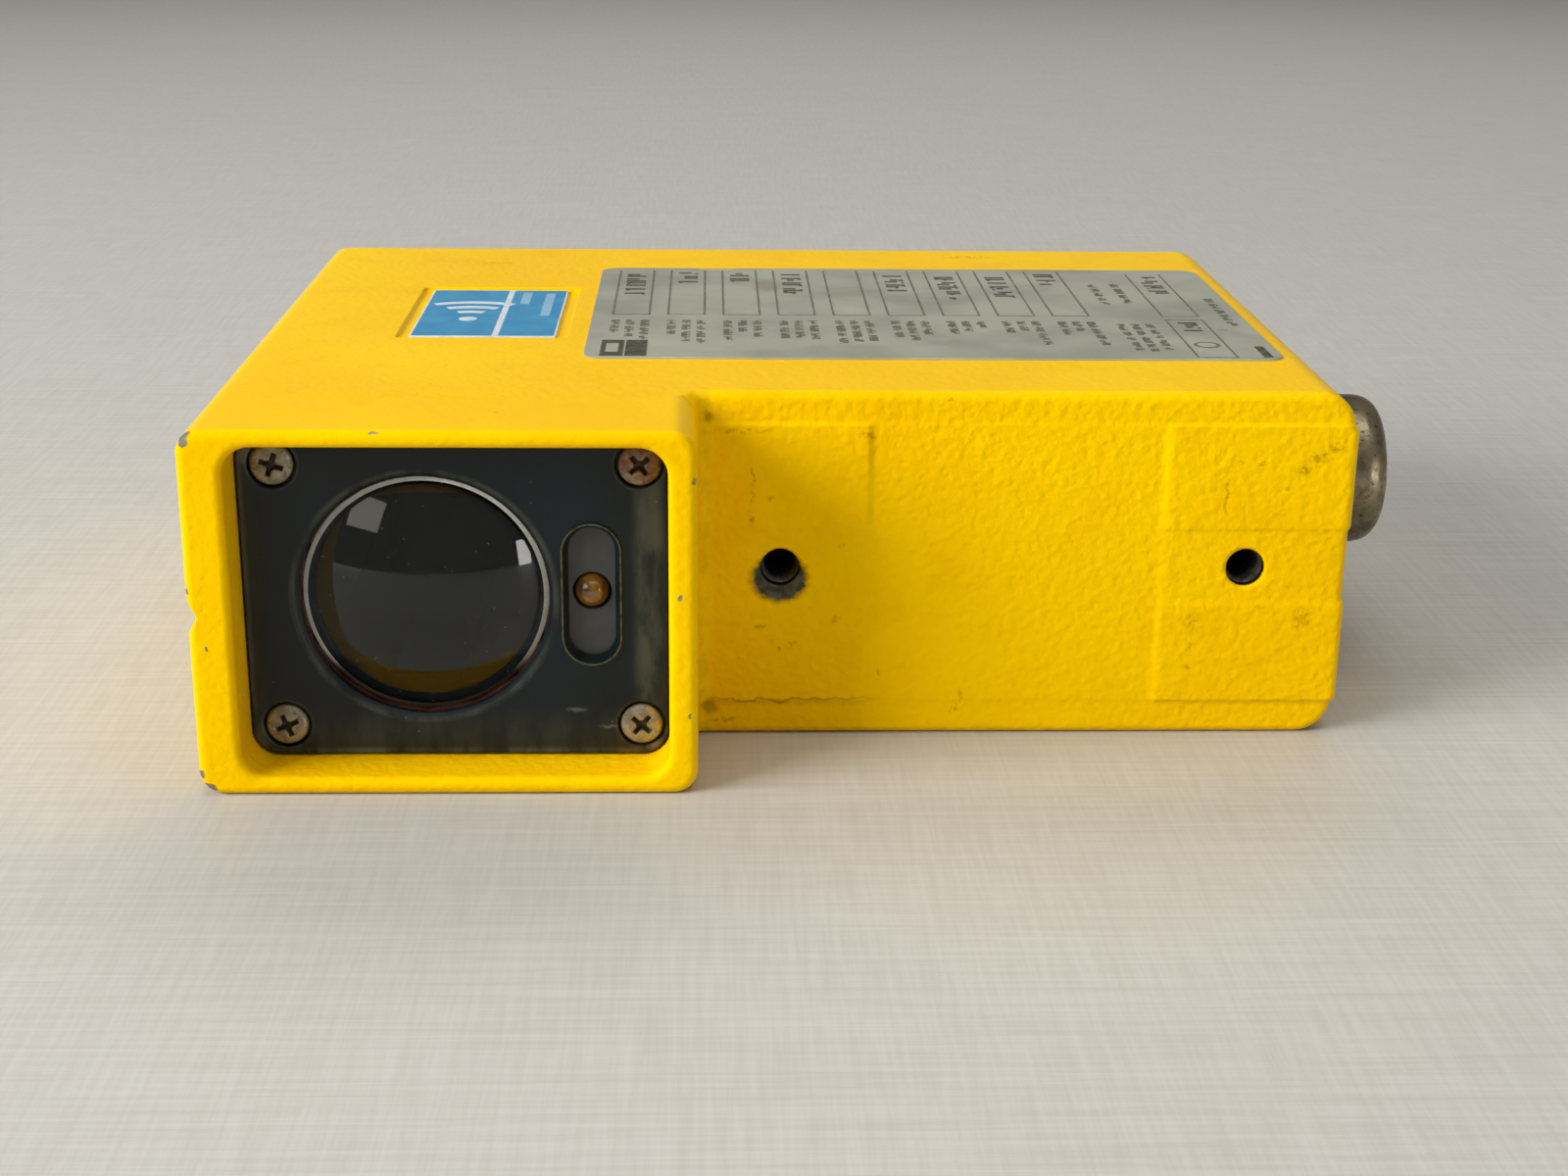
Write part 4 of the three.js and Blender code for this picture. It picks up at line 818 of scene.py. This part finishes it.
def front_frame(x, y, z):
    front = RECESS["front"]
    sides = ((low + GAP, high - GAP) for low, high in (RECESS["x"], RECESS["z"]))
    plate = round_rect(x, z, *sides, RECESS["corner"] - GAP)
    solid = both(plate, slab(y, front, RECESS["back"]), 0.3)
    axis = np.hypot(x - LENS["x"], z - MID_Z)
    solid = either(solid, both(axis - LENS["radius"] - 2.3, slab(y, 10, 16.4)))
    bead = window_slot(x, z, 2 * WINDOW["bead"])
    solid = either(solid, both(bead, slab(y, front - 0.4, front + 1), 0.18), 0.2)
    bevel = axis - np.maximum(LENS["clear"], LENS["clear"] + 0.75 - 1.1 * (y - front))
    solid = minus(solid, bevel, 0.12)
    solid = minus(solid, both(axis - LENS["radius"] - GAP, front + 1.6 - y))
    solid = minus(solid, window_slot(x, z) - 0.42 * np.clip(front + 1.5 - y, 0, 1.9), 0.15)
    solid = minus(solid, both(window_slot(x, z, 2.4), front + 1.5 - y))
    for screw in FRAME_SCREWS:
        solid = minus(solid, both(circle(x, z, screw, 3.4), y - front - 1.4), 0.25)
        solid = minus(solid, circle(x, z, screw, 1.8))
    return solid


carved("front_frame_plate", front_frame, (5.6, 7.6, 2.0), (66.5, 16.9, 51.0), (0.55, 0.28), "front_frame",
       "frame_black", flat_limit=0.5)

# ---------- Screws ----------


def cross_screw(head, height, shank, length):
    """The field of a pan-head screw with a cross recess, its axis along the third coordinate."""
    def field(u, v, a):
        out = np.hypot(u, v)
        dome = a - height + HEAD_DOME * out * out
        solid = both(both(out - head, -a, 0.12), dome, 0.55)
        down = height - a
        arm, half = 0.62 * head - 0.4 * down, 0.13 * head - 0.1 * down
        one = np.maximum(np.abs(u) - arm, np.abs(v) - half)
        two = np.maximum(np.abs(v) - arm, np.abs(u) - half)
        centre = out - 0.27 * head + 0.3 * down
        recess = both(either(np.minimum(one, two), centre, 0.15), 0.3 * height - a)
        solid = minus(solid, recess, 0.14)
        return either(solid, both(out - shank, slab(a, -length, 0.3), 0.2))
    return field


def drive(prefix, sizes, places, outward, y):
    """Puts a turned copy of one screw at each place, its head facing along outward Y."""
    head, height, _, length = sizes
    field, reach = cross_screw(*sizes), head + 0.3
    points, quads = net(field, (-reach, -reach, -length - 0.3), (reach, reach, height + 0.3),
                        0.14)
    normal = unit(gradient(field, points))
    turns = random.uniform(0, math.pi, len(places))
    u, v, a = points[quads].mean(1).T
    out = np.hypot(u, v)
    recessed = ((out < 0.75 * reach) & (a < height - HEAD_DOME * out * out - 0.3) & (a > 0.2)).astype(int)
    for i, ((x, z), turn) in enumerate(zip(places, turns)):
        c, s = math.cos(turn), math.sin(turn)
        basis = np.array([(c, 0, s), (s * outward, 0, -c * outward), (0, outward, 0)], float)
        node = f"{prefix}_{i + 1}"
        mesh = mesh_of(f"{node}_solid", points @ basis + (x, y, z), quads.tolist())
        mesh.shade_smooth()
        mesh.normals_split_custom_set_from_vertices((normal @ basis).tolist())
        mesh.polygons.foreach_set("material_index", recessed)
        new_piece(f"{node}_solid", mesh, node, "screw_steel", [FINISHES["screw_steel"], SCREW_RECESS])


drive("frame_screw", FRAME_SCREW, FRAME_SCREWS, -1, RECESS["front"] + 1.3)
drive("cover_screw", COVER_SCREW, COVER_SCREWS, 1, COVER["back"] - 2.1)

# ---------- Lens, indicator window and light ----------

sphere = (LENS["dome"] ** 2 + LENS["sag"] ** 2) / (2 * LENS["sag"])
dome = [(sphere * math.sin(a), LENS["apex"] + sphere * (1 - math.cos(a)))
        for a in np.linspace(0, math.asin(LENS["edge"] / sphere), 40)]
lens_profile = dome + [(17.36, 11.0), (17.4, 12.6), (18.3, 12.65), (18.3, 14.2), (0.0, 14.2)]
turned("lens_dome", lens_profile, "y", (LENS["x"], 0, MID_Z), "lens", "lens_glass",
       [FINISHES["lens_glass"], EDGE_GLASS], steps=144, closed=False,
       material_of=lambda k: int(len(dome) - 1 <= k <= len(dome)))


def window_pane(x, y, z):
    solid = both(window_slot(x, z, 1.8), slab(y, 10.3, 12.1), 0.3)
    return minus(solid, circle(x, z, (WINDOW["x"], WINDOW["z"]), 2.7), 0.2)


carved("indicator_pane", window_pane, (50, 9.8, 16), (60, 12.6, 38), (0.3, 0.3), "indicator_window",
       "window_grey")
BULB, BULB_TIP = 2.5, 8.7
bulb = [(BULB * math.sin(a), BULB_TIP + BULB * (1 - math.cos(a))) for a in np.linspace(0, math.pi / 2, 16)]
turned("indicator_dome", bulb + [(BULB, 15.4), (2.9, 15.45), (2.9, 16.4), (0.0, 16.4)], "y",
       (WINDOW["x"], 0, WINDOW["z"]), "indicator_led", "led_amber", steps=64, closed=False)

# ---------- Rear cover and its adjuster ----------


def rear_cover(x, y, z):
    back = COVER["back"]
    solid = outer(x, z, COVER["inset"] + GAP, 1.5, 3.2)
    solid = both(solid, slab(y, back - COVER["thickness"], back), 0.5)
    field = round_rect(x, z, (18, LENGTH - 18), (7, HEIGHT - 7), 3)
    solid = minus(solid, both(field, back - 0.8 - y, 0.3), 0.35)
    for screw in COVER_SCREWS:
        solid = minus(solid, both(circle(x, z, screw, 4.1), back - 2.2 - y), 0.3)
        solid = minus(solid, circle(x, z, screw, 1.9))
    solid = minus(solid, both(circle(x, z, ADJUSTER, 5), back - 2.2 - y), 0.3)
    solid = minus(solid, circle(x, z, ADJUSTER, 2.7))
    return minus(solid, both(circle(x, z, ADJUSTER, 4), y - back + 2.9))


carved("rear_cover_plate", rear_cover, (1.5, 130.4, 1.5), (LENGTH - 1.5, 135.9, HEIGHT - 1.5), (0.7, 0.38),
       "rear_cover", "painted_yellow")


def spindle(x, y, z):
    u, v = x - ADJUSTER[0], z - ADJUSTER[1]
    out, across = np.hypot(u, v), np.abs(v)
    knob = both(out - 4, slab(y, 133.3, 134.9), 0.25)
    knob = minus(knob, np.maximum(np.maximum(across - 0.5, u - 2.8), 133.9 - y), 0.08)
    pointer = np.maximum(np.maximum(across - 0.45, slab(u, 2, 4.5)), slab(y, 134.4, 134.9))
    stem = np.maximum(out - 2.4, slab(y, 121.0, 134))
    tongue = np.maximum(np.maximum(across - 0.6, np.abs(u) - 2.2), slab(y, 119.0, 122))
    return either(either(knob, pointer), either(stem, tongue))


carved("adjuster_spindle_solid", spindle, (77, 118.6, 26.2), (87, 135.2, 35.8), (0.3, 0.18),
       "adjuster_spindle", "plastic_white", body="sensitivity_adjuster")

# ---------- Connector ----------

plug_centre = (LENGTH, PLUG["y"], MID_Z)
bore, shank, shell, ring = (PLUG[key] for key in ("bore", "shank", "shell", "ring"))
shell_profile = [(bore, -9), (shank, -9), (shank, 1.6), (10.6, 1.6), (10.6, 3.0), (shell, 3.0), (shell, 17.5),
                 (bore, 17.5)]
turned("connector_shell_tube", softened(shell_profile, 0.25), "x", plug_centre, "connector_shell",
       "connector_nickel")
ring_profile = [(9.6, 3.3), (12.1, 3.3), (ring, 3.9), (ring, 4.9), (12.35, 5.2), (12.35, 5.8), (ring, 6.1),
                (ring, 15.3), (12.3, 16.7), (11.7, 17.8), (10.6, 18.65), (9.6, 18.65)]
turned("coupling_ring_sleeve", softened(ring_profile, 0.5), "x", plug_centre, "coupling_ring",
       "connector_nickel", body="coupling_ring", steps=128)

PIN, PIN_CIRCLE, PIN_HOLE = 0.8, 4.9, 1.0
pin_turns = (np.arange(5) + 0.25) * 2 * math.pi / 5
pin_places = [(0.0, 0.0)] + [(PIN_CIRCLE * math.cos(a), PIN_CIRCLE * math.sin(a)) for a in pin_turns]


def insert(x, y, z):
    dx, dy, dz = x - LENGTH, y - PLUG["y"], z - MID_Z
    solid = both(np.hypot(dy, dz) - 7.6, slab(dx, -8, PLUG["face"]), 0.3)
    for py, pz in pin_places:
        solid = minus(solid, np.hypot(dy - py, dz - pz) - PIN_HOLE, 0.12)
    return solid


carved("connector_insert_block", insert, (LENGTH - 8.5, PLUG["y"] - 8, MID_Z - 8),
       (LENGTH + 4.5, PLUG["y"] + 8, MID_Z + 8), (0.5, 0.3), "connector_insert", "frame_black")
tip = [(PIN * math.cos(a), 8.2 + PIN * math.sin(a)) for a in np.linspace(0, math.pi / 2, 6)]
for number, (py, pz) in enumerate(pin_places):
    turned(f"contact_pin_{number + 1}_rod", [(0.0, -11), (PIN, -11)] + tip[:-1] + [(0.0, 9.0)], "x",
           (LENGTH, PLUG["y"] + py, MID_Z + pz), f"contact_pin_{number + 1}", "contact_gold", steps=24,
           closed=False)

# ---------- Labels ----------

TOP = LABEL["thickness"] + HEIGHT
plates("type_label_foil", [(outline(LABEL["x"], LABEL["y"], LABEL["corner"]), HEIGHT, TOP - 0.02, 0.08)],
       "type_label", "label_foil")


def inked(x0, x1, y0, y1):
    return bar(x0, x1, y0, y1, TOP - 0.03, TOP + 0.03)


def line_of_words(x0, x1, y_front, y_back, stroke=0.62):
    """A line of print that runs along Y: words of unreadable strokes, with gaps between the words."""
    made, y, across = [], y_back, x1 - x0
    thick = 0.36 * stroke / 0.62
    while y > y_front + 1.2:
        word = min(random.uniform(2.4, 5.4), y - y_front)
        for k in range(int(word / stroke)):
            here = y - k * stroke
            low = x0 + across * random.choice([0, 0, 0, 0.3])
            high = x1 - across * random.choice([0, 0, 0.35])
            made.append(inked(low, high, here - thick, here))
            if random.uniform() < 0.55:
                mid = x0 + across * random.choice([0.05, 0.45, 0.85])
                made.append(inked(mid, mid + 0.16 * across, here - stroke, here - thick))
        y -= word + random.uniform(0.5, 0.9)
    return made


def ruled(x0, x1, y0, y1, sides="lrf", width=0.32, end_width=0.22):
    """A ruled box with the sides named: left, right, front and back."""
    a, b = x0 + width, x1 - width
    lines = {"l": (x0, a, y0, y1), "r": (b, x1, y0, y1),
             "f": (a, b, y0, y0 + end_width), "b": (a, b, y1 - end_width, y1)}
    return [inked(*lines[side]) for side in sides]


printed, bold = [], []
for column in range(9):
    left = 55.5 + 9.1 * column
    printed += ruled(left, left + 6.3, 74.0, 112.0)
    for row, reach in zip((0.1, 2.5, 4.9), random.uniform(51.5, 62.5, 3)):
        printed += line_of_words(left + row, left + row + 1.4, reach, 69.6)
    if column != 4:
        first = random.uniform(107, 110.5)
        bold += line_of_words(left + 1.5, left + 4.9, first - random.uniform(9, 20), first, stroke=1.6)
printed += line_of_words(138.2, 139.6, 83.5, 100.6) + line_of_words(142.2, 143.6, 83.5, 101.2)
for row in (137.9, 140.2, 142.6):
    printed += line_of_words(row, row + 1.3, random.uniform(47, 50), 68.0)
printed += ruled(146.5, 152.9, 74.0, 110.4) + ruled(146.5, 152.9, 44.0, 71.6, "lrfb")
bold += line_of_words(148.2, 151.5, 91.0, 108.0, stroke=1.6)
bold += line_of_words(148.2, 151.2, 61.0, 69.4, stroke=1.5)
printed += line_of_words(156.4, 157.9, 65.0, 88.6) + ruled(153.3, 155.6, 63.6, 64.0, "f")
bold += [inked(156.9, 158.3, 44.2, 51.8), inked(54.8, 58.3, 44.0, 54.8), inked(58.6, 61.9, 44.0, 54.8)]
ring_mark = (149.7, 52.8)
printed.append(disc(*ring_mark, 2.1, TOP - 0.03, TOP + 0.03))
plates("type_label_print", printed, None, "label_foil", [INK])
plates("type_label_bold", bold, None, "label_foil", [BOLD_INK])
plates("type_label_mark", [disc(*ring_mark, 1.5, TOP - 0.02, TOP + 0.035),
                           bar(55.6, 57.5, 46.4, 52.4, TOP, TOP + 0.035)], None, "label_foil")

badge_top = HEIGHT - 0.16
plates("badge_plate", [(outline(BADGE["x"], BADGE["y"], 0.25, 3), HEIGHT - BADGE["pocket"], badge_top, 0.06)],
       "badge_label", "badge_blue", [WHITE_PRINT])
(bx0, bx1), (by0, by1) = BADGE["x"], BADGE["y"]
BADGE_RIM, STRIPE = 0.35, (37.0, 38.05)
panel = (by0 + BADGE_RIM, by1 - BADGE_RIM, badge_top - 0.02, badge_top + 0.03)
plates("badge_panels", [bar(bx0 + BADGE_RIM, STRIPE[0], *panel), bar(STRIPE[1], bx1 - BADGE_RIM, *panel)],
       None, "badge_blue")


def strips(cx, cy, near, far, start, stop, z0, z1):
    """An arc as a row of small plates."""
    turn = np.radians(np.linspace(start, stop, 15))
    return [(np.array([(cx + r * math.cos(t), cy + r * math.sin(t))
                       for r, t in ((near, a), (far, a), (far, b), (near, b))]), z0, z1, 0)
            for a, b in zip(turn, turn[1:])]


mark_place, mark_z = (32.1, 72.0), (badge_top, badge_top + 0.06)
mark = [disc(*mark_place, 1.5, *mark_z)]
for radius in (4.6, 8.4, 12.2):
    mark += strips(*mark_place, radius, radius + 1.7, 72 - radius, 108 + radius, *mark_z)
plates("badge_mark", mark, None, "badge_blue", [WHITE_PRINT])
words = [bar(43.6, 45.2, 74.6, 92.7, *mark_z), bar(39.6, 41.2, 83.9, 93.6, *mark_z)]
plates("badge_words", words, None, "badge_blue", [PALE_PRINT])

# ---------- Floor ----------


def floor_finish():
    """Pale grey laminate with fine crossed streaks."""
    f = Finish("floor_grey", Specular_IOR_Level=0.35)
    along = f.noise(1.0, 4, 0.65, stretch=(0.03, 1, 1))
    across = f.noise(1.0, 4, 0.65, stretch=(1, 0.05, 1))
    weave = f.math("ADD", f.times(along, 0.55), f.times(across, 0.45))
    colour = f.mix(f.rise(weave, 0.35, 0.65), (188, 186, 180), (200, 199, 194))
    return f.feed(Base_Color=colour, Roughness=f.level(weave, 0.45, 0.6), Normal=f.bump(weave, 0.015))


FLOOR_REACH = 4000.0
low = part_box("housing")[0][2] / MM - CORNER[2] - 0.05
floor_mesh = mesh_of("floor", [(x * FLOOR_REACH, y * FLOOR_REACH, low)
                               for x, y in ((-1, -1), (1, -1), (1, 1), (-1, 1))], [[0, 1, 2, 3]])
floor_mesh.materials.append(floor_finish())
new_object("floor", floor_mesh)

# ---------- Camera, lights and world ----------

PITCH, YAW, ROLL = 0.3284, 0.0342, 0.0114
ahead = Vector((math.sin(YAW) * math.cos(PITCH), math.cos(YAW) * math.cos(PITCH), -math.sin(PITCH)))
level = Vector((math.cos(YAW), -math.sin(YAW), 0))
above = level.cross(ahead)
right = level * math.cos(ROLL) + above * math.sin(ROLL)
upward = above * math.cos(ROLL) - level * math.sin(ROLL)
camera = new_object("camera", bpy.data.cameras.new("camera"))
camera.data.sensor_width = 36.0
camera.data.lens = 52.24
camera.data.clip_start, camera.data.clip_end = 0.01, 50
camera.matrix_world = Matrix((right, upward, -ahead)).transposed().to_4x4()
camera.location = at(71.73, -295.69, 131.75)
bpy.context.scene.camera = camera
LIT_PLACE = (85, 60, 25)


def soft_light(name, azimuth, elevation, distance, width, height, power, colour=(1, 1, 1), mirrored=True):
    """An area light aimed at the object. Azimuth 0 is in front of it and 90 to its right, in degrees."""
    data = bpy.data.lights.new(name, "AREA")
    data.shape, data.size, data.size_y, data.energy, data.color = "RECTANGLE", width, height, power, colour
    light = new_object(name, data)
    a, e = math.radians(azimuth), math.radians(elevation)
    away = Vector((math.sin(a) * math.cos(e), -math.cos(a) * math.cos(e), math.sin(e)))
    light.location = at(*LIT_PLACE) + away * distance
    light.visible_glossy = mirrored
    light.rotation_mode = "QUATERNION"
    light.rotation_quaternion = away.to_track_quat("Z", "Y")


soft_light("window_light", -63, 25, 1.3, 0.75, 0.6, 18.8, (1.0, 0.985, 0.96), mirrored=False)
soft_light("ceiling_light", 20, 76, 1.5, 1.5, 1.5, 8.0, (1.0, 0.99, 0.97))
soft_light("rear_light", 176, 50, 1.7, 1.4, 0.7, 9.5, (1.0, 0.99, 0.97), mirrored=False)
soft_light("side_light", 48, 4, 1.2, 0.16, 0.34, 2.2, (1.0, 0.98, 0.95))
soft_light("far_window", -44, 26, 1.3, 0.42, 0.36, 1.5, (1.0, 0.96, 0.84))

world = bpy.data.worlds.new("studio")
bpy.context.scene.world = world
world.use_nodes = True
sky = world.node_tree
direction = add_node(sky, "TexCoord", {}, "Generated")
# A glow behind the object and low down, as the directions' Y rises and their Z falls.
behind, low_down = (
    add_node(sky, "MapRange", {0: add_node(sky, "SeparateXYZ", {0: direction}, axis), 1: start, 2: stop},
             interpolation_type="SMOOTHSTEP")
    for axis, start, stop in (("Y", -0.1, 0.7), ("Z", 0.22, 0.16)))
glow = add_node(sky, "Math", {0: behind, 1: low_down}, operation="MULTIPLY")
background = sky.nodes["Background"]
sky.links.new(add_node(sky, "MapRange", {0: glow, 3: 0.105, 4: 0.32}), background.inputs["Strength"])
background.inputs["Color"].default_value = (1.0, 0.985, 0.96, 1)

bpy.context.scene.view_settings.view_transform = "Standard"
